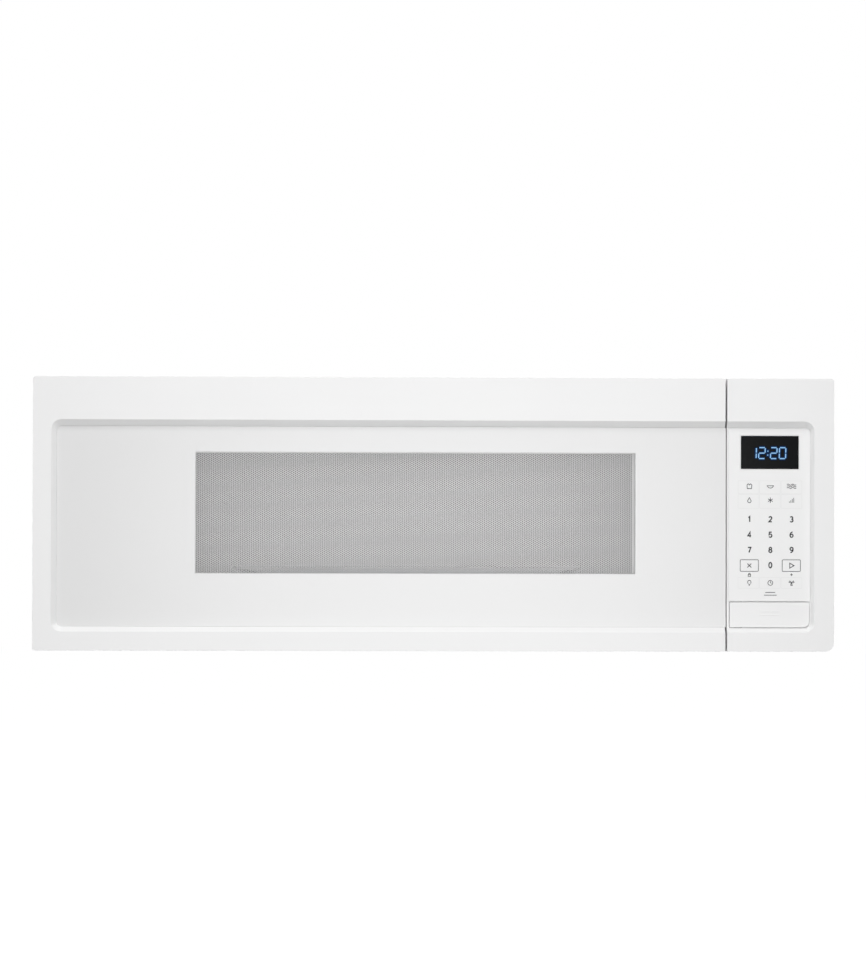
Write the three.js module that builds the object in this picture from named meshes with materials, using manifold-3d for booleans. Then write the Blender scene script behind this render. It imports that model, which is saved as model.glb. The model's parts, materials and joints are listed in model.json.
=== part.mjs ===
// Low-profile over-the-range microwave oven with a built-in ventilation hood.
// Millimetres. +X is the cook's right, +Y the wall behind, +Z up.
// The origin is the middle of the underside.
import * as THREE from "three";
import { mergeVertices } from "three/addons/utils/BufferGeometryUtils.js";
import Module from "manifold-3d";

const wasm = await Module();
wasm.setup();

// ---------------------------------------------------------------- overall
const WIDTH = 758.8;
const DEPTH = 463.5;
const HEIGHT = 260.35;
const CLEAR = 0.3; // between pieces that seat on each other
const SHEET = 1; // steel of case, pan, oven and ducts
const CASE_INSET = 1.5; // case sides behind the edges of the front
const PAST = 1; // cutters run this far past a face, and joined pieces into each other

// ---------------------------------------------------------------- front
const FRONT_LIFT = 1.5; // lower edge of the front above the underside
const DOOR_THICK = 45;
const DOOR_GAP = 2.5; // door back to the oven's front flange
const PANEL_WIDE = 101.7; // control panel, from the seam to the right edge
const SEAM = 1.8;
const MOULD_WALL = 3;
const EDGE_R = 2.5; // outer corners of the front
const FOOT_R = 8.5; // its lower right corner
const RIM_LEFT = 17.4; // outer edge to the start of the recess
const RIM_RIGHT = 18.9;
const RIM_BOTTOM = 18;
const RIM_TOP = 40.6;
const BEVEL_LEFT = 4.6;
const BEVEL_RIGHT = 3;
const BEVEL_BOTTOM = 4.7;
const BEVEL_TOP = 5.8;
const RECESS_DEPTH = 5;
const RECESS_OUTER_R = 9;
const RECESS_INNER_R = 5;

// ---------------------------------------------------------------- door
const GLASS = 3;
const GLASS_OVER = 0.7; // glass past the frame's edge at the seam
const DOOR_SIDE = 2; // the frame's wall beside the seam
const WINDOW_FROM_LEFT = 153.9; // window to the door's edges
const WINDOW_FROM_SEAM = 85.2;
const WINDOW_FROM_FOOT = 75.6;
const WINDOW_FROM_TOP = 69.75;
const WINDOW_MARGIN = 6; // opening in the frame round the window
const WINDOW_R = 4;
const SCREEN_BEHIND = 14; // face of the screen behind the front plane
const SCREEN_SHEET = 1.2;
const SCREEN_COLUMNS = 14;
const SCREEN_ROWS = 4;
const SCREEN_HOLE = 9; // half diagonal of one opening
const CHOKE_SHEET = 1.2;
const CHOKE_DEEP = 16;
const CHOKE_LAND = 4; // land outside the oven's mouth
const CHOKE_GROOVE = 20; // width of the choke channel
const CHOKE_COVER = 2;
const CHOKE_TO_HOOK = 3.5;
const PANE = 2.5;
const PANE_LAP = 5;
const MOUTH_SIDE = 8; // opening of the choke frame beside the window
const MOUTH_TOP = 4; // and above and below it

// ---------------------------------------------------------------- hinges
const HINGE_IN = 8; // pin axis from the door's left edge
const HINGE_BACK = 20; // pin axis in front of the door's back
const HINGE_ARM = 3;
const HINGE_ARM_HALF = 5;
const HINGE_ARM_END = 6; // arm in front of the pin's axis
const HINGE_ARM_R = 4;
const HINGE_NOTCH = 7; // height of the notch above and below the door
const HINGE_PIN_R = 3;
const HINGE_PIN = 12;
const HINGE_BLOCK = 26;
const HINGE_BLOCK_END = 14; // block in front of the pin's axis
const HINGE_NOTCH_END = 12;
const HINGE_NOTCH_PAST = 4; // notch beyond the arm
const HINGE_PLATE = 2;
const HINGE_PLATE_WIDE = 40;
const HINGE_PLATE_TALL = 34;

// ---------------------------------------------------------------- oven
const OVEN_FROM_LEFT = 104.4; // oven wall inside the left edge
const OVEN_FROM_SEAM = 43.9;
const OVEN_FROM_BACK = 31;
const OVEN_FLOOR = 49;
const OVEN_HEADROOM = 60.35; // for the duct above the oven
const OVEN_CORNER = 12;
const FLANGE_PAST_SEAM = 12; // front flange behind the panel's edge
const STEAM_BACK = 60; // first hole behind the oven flange
const STEAM_DOWN = 60; // first hole below the ceiling
const STEAM_HOLE = 2.8;
const STEAM_PITCH = 9;
const STEAM_COLUMNS = 5;
const STEAM_ROWS = 3;
const LAMP_COLUMNS = 3;
const LAMP_ROWS = 3;
const CAVITY_LAMP_BACK = 55; // middle of the oven lamp behind the oven flange
const CAVITY_LAMP_DOWN = 34; // below the ceiling
const CAVITY_LAMP_LONG = 44;
const CAVITY_LAMP_TALL = 34;
const CAVITY_LAMP_DEEP = 14;
const LAMP_WALL = 1.5;
const LAMP_PLUG = 6;

// ---------------------------------------------------------------- turntable
const TRAY_R = 179.5;
const TRAY_FLAT_R = 150;
const TRAY_GLASS = 5;
const TRAY_RIM = 13.5;
const TRAY_EDGE = 3.5; // thickness of the rim
const TRAY_LIP = 2.5; // height of its upright edge
const TRAY_RISE = 3.5; // height of the bend between flat and rim
const TRAY_BEND = 0.6; // where that bend lies between them
const LUG_R = 4; // lugs under the tray
const LUG_TALL = 5;
const ROLLER_R = 8;
const ROLLER_WIDE = 7;
const ROLLER_AT = 101; // middle of a roller, from the turntable's axis
const ROLLERS = 3;
const AXLE_R = 1.6;
const AXLE_HEAD = 1.6; // head beyond the axle's radius
const RING_R = 94;
const RING_WIDE = 6;
const RING_TALL = 4;
const HUB_R = 9;
const HUB_ARM = 22;
const HUB_ARM_WIDE = 6;
const HUB_ARM_TALL = 5;
const HUB_WAIST = 2; // narrower under its head
const HUB_HEAD = 4;
const HUB_LIFT = 1; // above the oven floor
const HUB_STEM_R = 3.5;
const HUB_STEM_DOWN = 10; // stem below the oven floor
const HUB_STEM_HOLE = 2; // room round the stem in the oven floor
const TURN_MOTOR_R = 25;
const TURN_MOTOR_TALL = 17;
const MOTOR_EAR = 9; // mounting ears beside the can
const MOTOR_EAR_WIDE = 12;
const MOTOR_EAR_R = 5;
const GEARBOX_LONG = 30;
const GEARBOX_WIDE = 26;
const GEARBOX_TALL = 4;
const GEARBOX_OFF = 8; // off the turntable's axis
const MOTOR_PLUG_LONG = 8;
const MOTOR_PLUG_WIDE = 14;
const MOTOR_PLUG_TALL = 9;

// ---------------------------------------------------------------- latch
const HOOK_IN = 11.9; // middle of the latch plate, from the seam
const HOOK_THICK = 4;
const HOOK_REACH = 32; // tip behind the oven flange
const HOOK_TALL = 9.7;
const HOOK_BARB = 2.2;
const HOOK_LOW = 58.3; // underside of the lower hook
const HOOK_FROM_TOP = 72.05; // underside of the upper hook below the top
const HOOK_NOSE = 2;
const HOOK_CROWN = 4;
const HOOK_SLOPE = 5;
const SLOT_CLEAR = 1; // beside and above a hook in its slot
const BAR_DEEP = 15;
const BAR_BEHIND = 1.5; // behind the door's front wall
const BAR_PAST = 8; // beyond the hooks
const BAR_GUIDE = 6; // height of a guide, and how far the guides are inside the bar's ends
const BAR_GUIDE_FOOT = 20;
const BAR_GUIDE_TOP = 30;
const BAR_STOP = 4;
const LATCH_SPRING = 24;
const LATCH_SPRING_R = 3.4;
const LATCH_WIRE = 0.5;
const SPRING_TURNS = 5;
const CATCH_SHEET = 2.5;
const CATCH_CLEAR = 0.4; // barb above the edge of its slot
const HOOK_SWING = 3; // room for the hooks' arc as the door opens
const BRACKET_DOWN = 12; // bracket below the lever's axis
const BRACKET_UP = 20; // above the upper hook
const BRACKET_OFF = 25; // beside the oven
const BRACKET_PAST = 20; // behind the panel's edge
const BRACKET_BOSS = 8;
const BRACKET_SHELF = 2;
const SWITCH_DEEP = 16;
const SWITCH_TALL = 27;
const SWITCH_WIDE = 10.5;
const SWITCH_BEHIND = 2.5; // behind the hooks' tips
const SWITCH_UP = 11; // shelf above the hook that the switch hangs from
const PLUNGER_R = 1.5;
const SWITCH_TAB = 7;
const SWITCH_TAB_WIDE = 5;
const SWITCH_TAB_SHEET = 0.8;

// ---------------------------------------------------------------- control panel
const PANEL_SIDE = 2; // the housing's wall beside the seam
const MEMBRANE = 0.8;
const MEMBRANE_IN = 1.4; // from the panel's left edge
const MEMBRANE_UP = 1; // above the button
const DISPLAY_IN = 13.6; // from the panel's left edge
const DISPLAY_WIDE = 54.9;
const DISPLAY_DOWN = 7.75; // below the recess's upper bevel
const DISPLAY_TALL = 31.4;
const DISPLAY_LIP = 2; // seat round the display
const DISPLAY_PROUD = 0.1;
const BUTTON_IN = 2.7; // from the panel's left edge
const BUTTON_TO_BEVEL = 1.1;
const BUTTON_TALL = 24;
const BUTTON_PROUD = 1.2; // in front of the membrane
const BUTTON_CAP = 4.4;
const BUTTON_TRAVEL = 4;
const BUTTON_CLEAR = 0.5;
const BUTTON_FOOT_R = 6;
const BUTTON_WALL = 2;
const BUTTON_RIB = 0.8; // two grip ribs across the button's face
const BUTTON_RIB_LONG = 19;
const BUTTON_RIB_PROUD = 0.3;
const BUTTON_RIB_PITCH = 3.4;
const BUTTON_SPRING_R = 7.2;
const BUTTON_WIRE = 0.6;
const BUTTON_GUIDE_WIDE = 44;
const BUTTON_GUIDE_BACK = 6; // guide wall in front of the door's back plane
const BUTTON_GUIDE = 3;
const STEM = 8;
const STEM_Z = 34;
const STEM_NUB = 6;
const STEM_NUB_TALL = 2;
const LEVER_Z = 54.5;
const LEVER_BACK = 13.5; // lever axis behind the oven flange
const LEVER_SHAFT_R = 3;
const LEVER_ARM = 12;
const LEVER_THICK = 4;
const LEVER_TOE = 5; // long arm below the button's stem
const LIFT_ARM = 16;
const BOARD = 1.6;
const BOARD_BEHIND = 14; // board behind the front plane
const BOARD_FOOT = 62;
const BOARD_IN = 7; // from the panel's left edge
const BOARD_TO_BEVEL = 3;
const BOSS_R = 3;
const BOSS_IN = 5; // screw bosses inside the board's corners
const SOLDER = 0.2; // board parts into the board's face
const MODULE_IN = 3; // display module inside the display's edges
const RELAY_WIDE = 20;
const RELAY_TALL = 16;
const RELAY_DEEP = 16;
const RELAY_PITCH = 26;
const RELAY_IN = 6;
const RELAY_DOWN = 30;
const CONNECTOR_WIDE = 50;
const CONNECTOR_TALL = 8;
const CONNECTOR_DEEP = 10;
const CONNECTOR_IN = 10;
const CONNECTOR_UP = 16;
const SUPPLY_WIDE = 32; // supply transformer above the connector
const SUPPLY_TALL = 30;
const SUPPLY_DEEP = 22;
const SUPPLY_UP = 50;
const BUFFER_R = 8; // buffer capacitor
const BUFFER_LONG = 18;
const BUFFER_IN = 20;
const BUFFER_UP = 70;

// ---------------------------------------------------------------- power parts
const WAVEGUIDE_DEEP = 26;
const WAVEGUIDE_LONG = 120;
const WAVEGUIDE_TALL = 54;
const FEED_LONG = 78; // opening in the oven wall
const FEED_TALL = 40;
const FEED_BACK = 179.25; // middle of the feed behind the oven flange
const FEED_UP = 76; // above the oven floor
const ANTENNA_R = 8;
const ANTENNA_PAST = 50; // behind the feed
const ANTENNA_IN = 6; // tip off the oven wall
const GUIDE_LIP = 8; // waveguide flange
const COVER_LAP = 10;
const COVER_SHEET = 0.8;
const COVER_R = 4;
const MAGNETRON_WIDE = 84;
const MAGNETRON_TALL = 78;
const MAGNETRON_LONG = 50;
const MAGNETRON_FINS = 6;
const YOKE = 2;
const ANODE_R = 19;
const MAGNET_R = 27;
const MAGNET_LONG = 8;
const FIN_SHEET = 0.8;
const FIN_MARGIN = 12; // fins to the yoke's ends
const FILTER_BOX = 30;
const MAGNETRON_PLUG = 10;
const CORE_WIDE = 84;
const CORE_TALL = 64;
const CORE_STACK = 56;
const CORE_WINDOW = 15; // winding windows in the core
const CORE_FOOT = 2.5; // its mounting plate
const CORE_FOOT_PAST = 8;
const WINDING_R = 10;
const CAN_LONG = 84;
const CAN_WIDE = 54;
const CAN_TALL = 34;
const CAN_BEHIND = 8; // behind the fan shroud
const CLAMP = 1.5; // clamp round the can
const CLAMP_AT = 30;
const CLAMP_WIDE = 16;
const CLAMP_FOOT = 2;
const CLAMP_EAR = 12;
const CAN_TAB = 5;
const CAN_TAB_WIDE = 6;
const CAN_TAB_PITCH = 20;
const TAB_SHEET = 0.8;
const NOISE_BOARD_WIDE = 74;
const NOISE_BOARD_TALL = 58;
const NOISE_BOARD_OFF = 10.4; // off the rear panel
const NOISE_BOARD_IN = 30; // beside the oven
const NOISE_BOARD_DOWN = 20; // foot below the oven's ceiling
const CHOKE_COIL_R = 11; // ring choke on the mains filter board
const CHOKE_COIL_BORE = 5;
const CHOKE_COIL_LONG = 12.5;
const CHOKE_COIL_IN = 18; // its middle, from the board's corner
const MAINS_BOX_WIDE = 26; // mains capacitor beside it
const MAINS_BOX_TALL = 12;
const MAINS_BOX_DEEP = 14.5;

// ---------------------------------------------------------------- cooling fan
const FAN_IN = 65.4; // fan axis from the right edge
const FAN_Z = 132;
const FAN_R = 43;
const FAN_BLADES = 5;
const FAN_TIP = 2.5; // running gap
const FAN_DEEP = 16;
const FAN_HUB_R = 10;
const FAN_SHAFT_R = 2.5;
const FAN_BLADE = 1.6;
const FAN_CHORD = 26;
const FAN_ROOT_TWIST = 0.75; // radians
const FAN_TIP_TWIST = 0.45;
const FAN_BEHIND = 6; // behind the shroud's face
const FAN_MOTOR_DEEP = 26;
const FAN_MOTOR_GAP = 8; // behind the fan
const FAN_MOTOR_WIDE = 60;
const FAN_MOTOR_TALL = 52;
const FAN_MOTOR_SLOT = 13; // notches beside the coil
const FAN_MOTOR_SLOT_TALL = 16;
const FAN_COIL_WIDE = 30;
const FAN_COIL_TALL = 20;
const FAN_COIL_PAST = 6; // coil behind the laminations
const FAN_ROTOR_R = 14;
const SHROUD_FROM_BACK = 99.75;
const SHROUD = 2.5;
const SHROUD_OVER = 40; // above the oven
const SHROUD_ARM = 5;
const SHROUD_ARM_WIDE = 8;
const SHROUD_ARM_X = 30; // arms beside the fan's axis
const SHROUD_GRIP = 14; // clamps above and below the motor
const SHROUD_GRIP_WIDE = 28;
const SHROUD_GRIP_X = 20;

// ---------------------------------------------------------------- ventilation
const WHEEL_R = 22;
const WHEEL_INNER_R = 17;
const WHEEL_BLADES = 12;
const WHEEL_RING = 3;
const WHEEL_BOSS_R = 8;
const WHEEL_BOSS_LONG = 16;
const WHEEL_DISC = 2;
const BLADE_INSET = 0.6; // blades inside the rings' edges
const BLADE_HALF = 0.5; // half their mean thickness
const WHEEL_LONG = 104;
const WHEEL_FROM = 58; // inner end of a wheel, from the middle
const BLOWER_FROM_BACK = 161.75;
const BLOWER_SHAFT_R = 4;
const BLOWER_MOTOR_R = 22;
const BLOWER_MOTOR_LONG = 76;
const BLOWER_CAP_R = 12; // bearing caps of the motor
const BLOWER_CAP = 4;
const BLOWER_FOOT_LONG = 50;
const BLOWER_FOOT_WIDE = 40;
const SHAFT_PAST = 14; // shaft beyond the wheels' discs
const SCROLL_TIGHT = 24.6;
const SCROLL_WALL = 1.2;
const SCROLL_REACH = 45; // outlet behind the blower's axis
const SCROLL_SIDE = 8; // housing beyond the wheel's ends
const SCROLL_LOW = 10; // outlet's lower edge below the axis
const SCROLL_STEPS = 14;
const EXHAUST_WIDE = 254;
const EXHAUST_DEEP = 82.5;
const EXHAUST_BACK = 14; // exhaust opening in front of the back
const VENT_FROM_LEFT = 129.4; // vent opening inside the front's edges
const VENT_FROM_RIGHT = 179.4;
const VENT_FRONT = 9; // vent opening behind the oven flange
const VENT_DEEP = 30;
const VENT_SLOTS = 24;
const VENT_RIM = 4; // round the slots
const VENT_BAR = 4; // between them
const VENT_LAP = 5; // flange under the case top
const VENT_FLANGE = 2;
const CHARCOAL_TALL = 20;
const CHARCOAL_RIM = 2;
const PLEAT_SHEET = 1.2;
const PLEAT_CLEAR = 0.8; // pleats inside their frame's faces
const FILTER_FROM = 85; // grease filter opening, from the middle
const FILTER_WIDE = 200;
const FILTER_FRONT = 64; // its front edge behind the oven flange
const FILTER_FROM_BACK = 232; // its rear edge
const FILTER_TALL = 8;
const FILTER_LAP = 6;
const FILTER_RIM = 8;
const FILTER_TAB = 26; // pull tab under a grease filter
const FILTER_TAB_DEEP = 9;
const FILTER_TAB_DOWN = 0.9;
const PLEATS = 16;
const LAMP_AT = 180; // cooktop lamps, from the middle
const LAMP_BACK = 34; // behind the oven flange
const LAMP_WIDE = 64;
const LAMP_DEEP = 40;
const LAMP_TALL = 15;
const LENS = 2;
const LENS_UNDER = 0.3; // raised part of a lens above the underside's plane
const LENS_CLEAR = 0.5;
const LENS_R = 3;
const LAMP_BOARD_IN = 10; // diode board inside a lamp's sides
const PAN_LIP = 15;
const AIR_SLOTS = 9; // cooling air inlet under the fan
const AIR_SLOT = 3.4;
const AIR_BEHIND = 12; // behind the fan shroud
const AIR_LONG = 72;
const AIR_PITCH = 9;
const BUSHING_R = 14;
const BUSHING_LIP = 3; // collar beyond the neck
const BUSHING_COLLAR = 4;
const CORD_HOLE_R = 6;
const BUSHING_IN = 44.4; // from the right edge
const BUSHING_BACK = 30;
const REAR_RIBS = 4; // pressed into the rear panel behind the oven
const REAR_RIB = 14;
const REAR_RIB_DEEP = 2.5;
const REAR_RIB_IN = 30; // ends inside the oven's sides

// ---------------------------------------------------------------- places
const LEFT = -WIDTH / 2;
const RIGHT = WIDTH / 2;
const FRONT = -DEPTH / 2;
const BACK = DEPTH / 2;
const PANEL_LEFT = RIGHT - PANEL_WIDE;
const DOOR_RIGHT = PANEL_LEFT - SEAM;
const DOOR_BACK = FRONT + DOOR_THICK;
const OVEN_FRONT = DOOR_BACK + DOOR_GAP;
const FLANGE_BACK = OVEN_FRONT + SHEET;
const CASE_X = [LEFT + CASE_INSET, RIGHT - CASE_INSET];
const INNER_X = [CASE_X[0] + SHEET + CLEAR, CASE_X[1] - SHEET - CLEAR];
const INNER_TOP = HEIGHT - SHEET - CLEAR;
const REAR_FRONT = BACK - SHEET; // front face of the rear panel
const OVEN_LEFT = LEFT + OVEN_FROM_LEFT;
const OVEN_RIGHT = DOOR_RIGHT - OVEN_FROM_SEAM;
const OVEN_CEILING = HEIGHT - OVEN_HEADROOM;
const OVEN_Y = [OVEN_FRONT, BACK - OVEN_FROM_BACK];
const OVEN_TOP = OVEN_CEILING + SHEET;
const OVEN_SIDE = OVEN_RIGHT + SHEET;
const TURN_X = (OVEN_LEFT + OVEN_RIGHT) / 2;
const TURN_Y = (OVEN_Y[0] + OVEN_Y[1]) / 2;
const GLASS_FRONT = FRONT + RECESS_DEPTH;
const HINGE_X = LEFT + HINGE_IN;
const HINGE_Y = DOOR_BACK - HINGE_BACK;

// ---------------------------------------------------------------- finishes
function finish(color, roughness, metalness = 0) {
  return new THREE.MeshStandardMaterial({ color, roughness, metalness });
}
const whiteMoulding = finish(0xf2f2f2, 0.35);
const whitePaint = finish(0xefefef, 0.4);
const whiteGlass = finish(0xf6f6f6, 0.08);
const greyEnamel = finish(0xb9bab8, 0.35);
const blackPlastic = finish(0x1b1c1e, 0.5);
const greyPlastic = finish(0xc9c9c6, 0.55);
const zincSteel = finish(0xb4b7ba, 0.4, 0.8);
const brightSteel = finish(0xc8cacc, 0.25, 1);
const aluminium = finish(0xc4c6c8, 0.4, 1);
const copper = finish(0xa65a33, 0.35, 1);
const clearGlass = finish(0xe6efee, 0.05);
const mica = finish(0xc9b48a, 0.6);
const boardGreen = finish(0x2f6b45, 0.5);
const charcoal = finish(0x3a3b3c, 0.9);
const laminations = finish(0x4b4d50, 0.6, 0.6);

// ---------------------------------------------------------------- shape tools
// A closed geometry as a solid, with its faces turned outwards.
function solid(geometry) {
  geometry.deleteAttribute("normal");
  geometry.deleteAttribute("uv");
  const merged = mergeVertices(geometry, 1e-4);
  const vertProperties = new Float32Array(merged.attributes.position.array);
  const triVerts = new Uint32Array(merged.index.array);
  const at = (i) => new THREE.Vector3().fromArray(vertProperties, 3 * i);
  let volume = 0;
  for (let i = 0; i < triVerts.length; i += 3) {
    const [a, b, c] = [0, 1, 2].map((k) => at(triVerts[i + k]));
    volume += a.dot(b.cross(c));
  }
  if (volume < 0) triVerts.reverse();
  return new wasm.Manifold(new wasm.Mesh({ numProp: 3, vertProperties, triVerts }));
}

function block([x0, x1], [y0, y1], [z0, z1]) {
  const box = new THREE.BoxGeometry(x1 - x0, y1 - y0, z1 - z0);
  return solid(box.translate((x0 + x1) / 2, (y0 + y1) / 2, (z0 + z1) / 2));
}

// Turns a geometry made along +Z so that its length runs along an axis. The outline's
// two directions become Y and Z on axis x, X and Z on axis y, and X and Y on axis z.
function along(geometry, axis, from, to) {
  if (axis === "x") {
    const basis = new THREE.Matrix4().makeBasis(
      new THREE.Vector3(0, 1, 0), new THREE.Vector3(0, 0, 1), new THREE.Vector3(1, 0, 0));
    return geometry.applyMatrix4(basis).translate(from, 0, 0);
  }
  if (axis === "y") return geometry.rotateX(Math.PI / 2).translate(0, to, 0);
  return geometry.translate(0, 0, from);
}

// A straight piece with the given outline and holes.
function prism(points, axis, from, to, holes = []) {
  const shape = new THREE.Shape(points);
  shape.holes = holes.map((hole) => new THREE.Path(hole));
  const body = new THREE.ExtrudeGeometry(shape, { depth: to - from, bevelEnabled: false });
  return solid(along(body, axis, from, to));
}

function rod(axis, r, from, to, [u, v], sides = 16) {
  const points = circle(u, v, r, sides);
  return prism(points, axis, from, to);
}

function tube(axis, r, bore, from, to, [u, v], sides = 24) {
  return prism(circle(u, v, r, sides), axis, from, to, [circle(u, v, bore, sides)]);
}

// A revolved piece about a vertical axis; the profile is a list of [radius, height].
function turned(profile, [x, y], sides = 48) {
  const points = profile.map(([r, z]) => new THREE.Vector2(r, z));
  const body = new THREE.LatheGeometry(points, sides);
  return solid(body.rotateX(Math.PI / 2).translate(x, y, 0));
}

function circle(u, v, r, sides = 24) {
  return Array.from({ length: sides }, (_, i) => {
    const a = ((i + 0.5) / sides) * 2 * Math.PI;
    return new THREE.Vector2(u + r * Math.cos(a), v + r * Math.sin(a));
  });
}

// Rectangle with rounded corners, anticlockwise from the low left corner. A single
// radius serves all four corners.
function roundRect([u0, u1], [v0, v1], radii = 0, steps = 4) {
  const r = Array.isArray(radii) ? radii : [radii, radii, radii, radii];
  const corners = [
    [u0 + r[0], v0 + r[0], r[0], 2],
    [u1 - r[1], v0 + r[1], r[1], 3],
    [u1 - r[2], v1 - r[2], r[2], 0],
    [u0 + r[3], v1 - r[3], r[3], 1],
  ];
  return corners.flatMap(([u, v, radius, quarter]) => {
    const count = radius > 0 ? steps : 0;
    return Array.from({ length: count + 1 }, (_, i) => {
      const a = (quarter + (count ? i / count : 0)) * (Math.PI / 2);
      return new THREE.Vector2(u + radius * Math.cos(a), v + radius * Math.sin(a));
    });
  });
}

// A solid between two outlines of equally many points, lying in XZ at two depths.
function loft(near, yNear, far, yFar) {
  const count = near.length;
  const rings = [[near, yNear], [far, yFar]];
  const position = rings.flatMap(([ring, y]) => ring.flatMap((p) => [p.x, y, p.y]));
  const index = [];
  for (let i = 0; i < count; i += 1) {
    const j = (i + 1) % count;
    index.push(i, j, count + j, i, count + j, count + i);
    if (i > 0 && i < count - 1) index.push(0, i + 1, i, count, count + i, count + i + 1);
  }
  const body = new THREE.BufferGeometry();
  body.setAttribute("position", new THREE.Float32BufferAttribute(position, 3));
  return solid(body.setIndex(index));
}

// A coil spring along an axis, as one unbroken wire.
function coil(axis, [u, v], r, wire, from, to, turns) {
  class Helix extends THREE.Curve {
    getPoint(t, target = new THREE.Vector3()) {
      const a = 2 * Math.PI * turns * t;
      const low = from + wire;
      const high = to - wire;
      const w = low + (high - low) * t;
      const [c, s] = [u + r * Math.cos(a), v + r * Math.sin(a)];
      return axis === "y" ? target.set(c, w, s) : target.set(c, s, w);
    }
  }
  const section = new THREE.Shape(circle(0, 0, wire, 5));
  const steps = 8 * turns;
  return solid(new THREE.ExtrudeGeometry(section, { steps, extrudePath: new Helix() }));
}

const join = (first, ...rest) => rest.reduce((whole, piece) => whole.add(piece), first);
const cut = (first, ...rest) => rest.reduce((whole, piece) => whole.subtract(piece), first);
const wider = ([low, high], by) => [low - by, high + by];
const about = (middle, size) => [middle - size / 2, middle + size / 2];
const above = (low, size) => [low, low + size];

const group = new THREE.Group();

// Adds a solid to a group as a named mesh.
function add(name, body, material, parent = group) {
  const { vertProperties, triVerts } = body.getMesh();
  const geometry = new THREE.BufferGeometry();
  geometry.setAttribute("position", new THREE.BufferAttribute(vertProperties, 3));
  geometry.setIndex(new THREE.BufferAttribute(triVerts, 1));
  geometry.computeVertexNormals();
  const mesh = new THREE.Mesh(geometry, material);
  mesh.name = name;
  parent.add(mesh);
  return mesh;
}

// ---------------------------------------------------------------- shared places
const RECESS_X = [LEFT + RIM_LEFT, RIGHT - RIM_RIGHT];
const RECESS_Z = [FRONT_LIFT + RIM_BOTTOM, HEIGHT - RIM_TOP];
const FLOOR_X = [RECESS_X[0] + BEVEL_LEFT, RECESS_X[1] - BEVEL_RIGHT];
const FLOOR_Z = [RECESS_Z[0] + BEVEL_BOTTOM, RECESS_Z[1] - BEVEL_TOP];
const FRONT_Z = [FRONT_LIFT, HEIGHT];
const WINDOW_X = [LEFT + WINDOW_FROM_LEFT, DOOR_RIGHT - WINDOW_FROM_SEAM];
const WINDOW_Z = [WINDOW_FROM_FOOT, HEIGHT - WINDOW_FROM_TOP];
const OVEN_X = [OVEN_LEFT, OVEN_RIGHT];
const OVEN_Z = [OVEN_FLOOR, OVEN_CEILING];
const HOOK_AT = DOOR_RIGHT - HOOK_IN;
const HOOK_X = about(HOOK_AT, HOOK_THICK);
const HOOK_TIP = OVEN_FRONT + HOOK_REACH;
const HOOKS_Z = [HOOK_LOW, HEIGHT - HOOK_FROM_TOP];
const CATCH_Y = above(FLANGE_BACK + CLEAR, CATCH_SHEET);
const GLASS_BACK = GLASS_FRONT + GLASS;
const LATCH_LIFT = (BUTTON_TRAVEL * LIFT_ARM) / (LEVER_Z - STEM_Z);
const POCKET_FLOOR = GLASS_BACK + CLEAR;
const DOOR_SHELL = POCKET_FLOOR + MOULD_WALL; // inside of the door's front wall
const VENT_X = [LEFT + VENT_FROM_LEFT, RIGHT - VENT_FROM_RIGHT];
const VENT_Y = above(OVEN_FRONT + VENT_FRONT, VENT_DEEP);
const EXHAUST_Y = [BACK - EXHAUST_BACK - EXHAUST_DEEP, BACK - EXHAUST_BACK];
const EXHAUST_X = about(0, EXHAUST_WIDE);
const FEED_Y = OVEN_FRONT + FEED_BACK;
const FEED_Z = OVEN_FLOOR + FEED_UP;
const BUSHING_X = RIGHT - BUSHING_IN;
const BUSHING_Y = BACK - BUSHING_BACK;
const FAN_X = RIGHT - FAN_IN;
const SHROUD_Y = BACK - SHROUD_FROM_BACK;
const FILTER_Y = [OVEN_FRONT + FILTER_FRONT, BACK - FILTER_FROM_BACK];
const LAMP_Y = about(OVEN_FRONT + LAMP_BACK, LAMP_DEEP);

// The sunken field runs on across door and control panel, so one cutter serves both.
function recess() {
  const outer = roundRect(RECESS_X, RECESS_Z, RECESS_OUTER_R);
  const inner = roundRect(FLOOR_X, FLOOR_Z, RECESS_INNER_R);
  return join(
    loft(outer, FRONT, inner, GLASS_FRONT),
    prism(outer, "y", FRONT - PAST, FRONT));
}

// The slots through which the two hooks reach their catches.
function hookSlots(depth, swing) {
  return HOOKS_Z.map((z) => block(
    [HOOK_X[0] - SLOT_CLEAR, HOOK_X[1] + swing],
    depth,
    [z - CATCH_CLEAR, z + HOOK_TALL + LATCH_LIFT + SLOT_CLEAR]));
}

// ---------------------------------------------------------------- case
function outerCase() {
  const y = [OVEN_FRONT, REAR_FRONT - CLEAR];
  const shell = cut(
    block(CASE_X, y, [CLEAR, HEIGHT]),
    block(wider(CASE_X, -SHEET), wider(y, PAST), [-PAST, HEIGHT - SHEET]));
  const through = wider([HEIGHT - SHEET, HEIGHT], PAST);
  return cut(
    shell,
    block(VENT_X, VENT_Y, through),
    block(EXHAUST_X, EXHAUST_Y, through),
    rod("z", BUSHING_R - BUSHING_LIP, ...through, [BUSHING_X, BUSHING_Y]));
}

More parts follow.
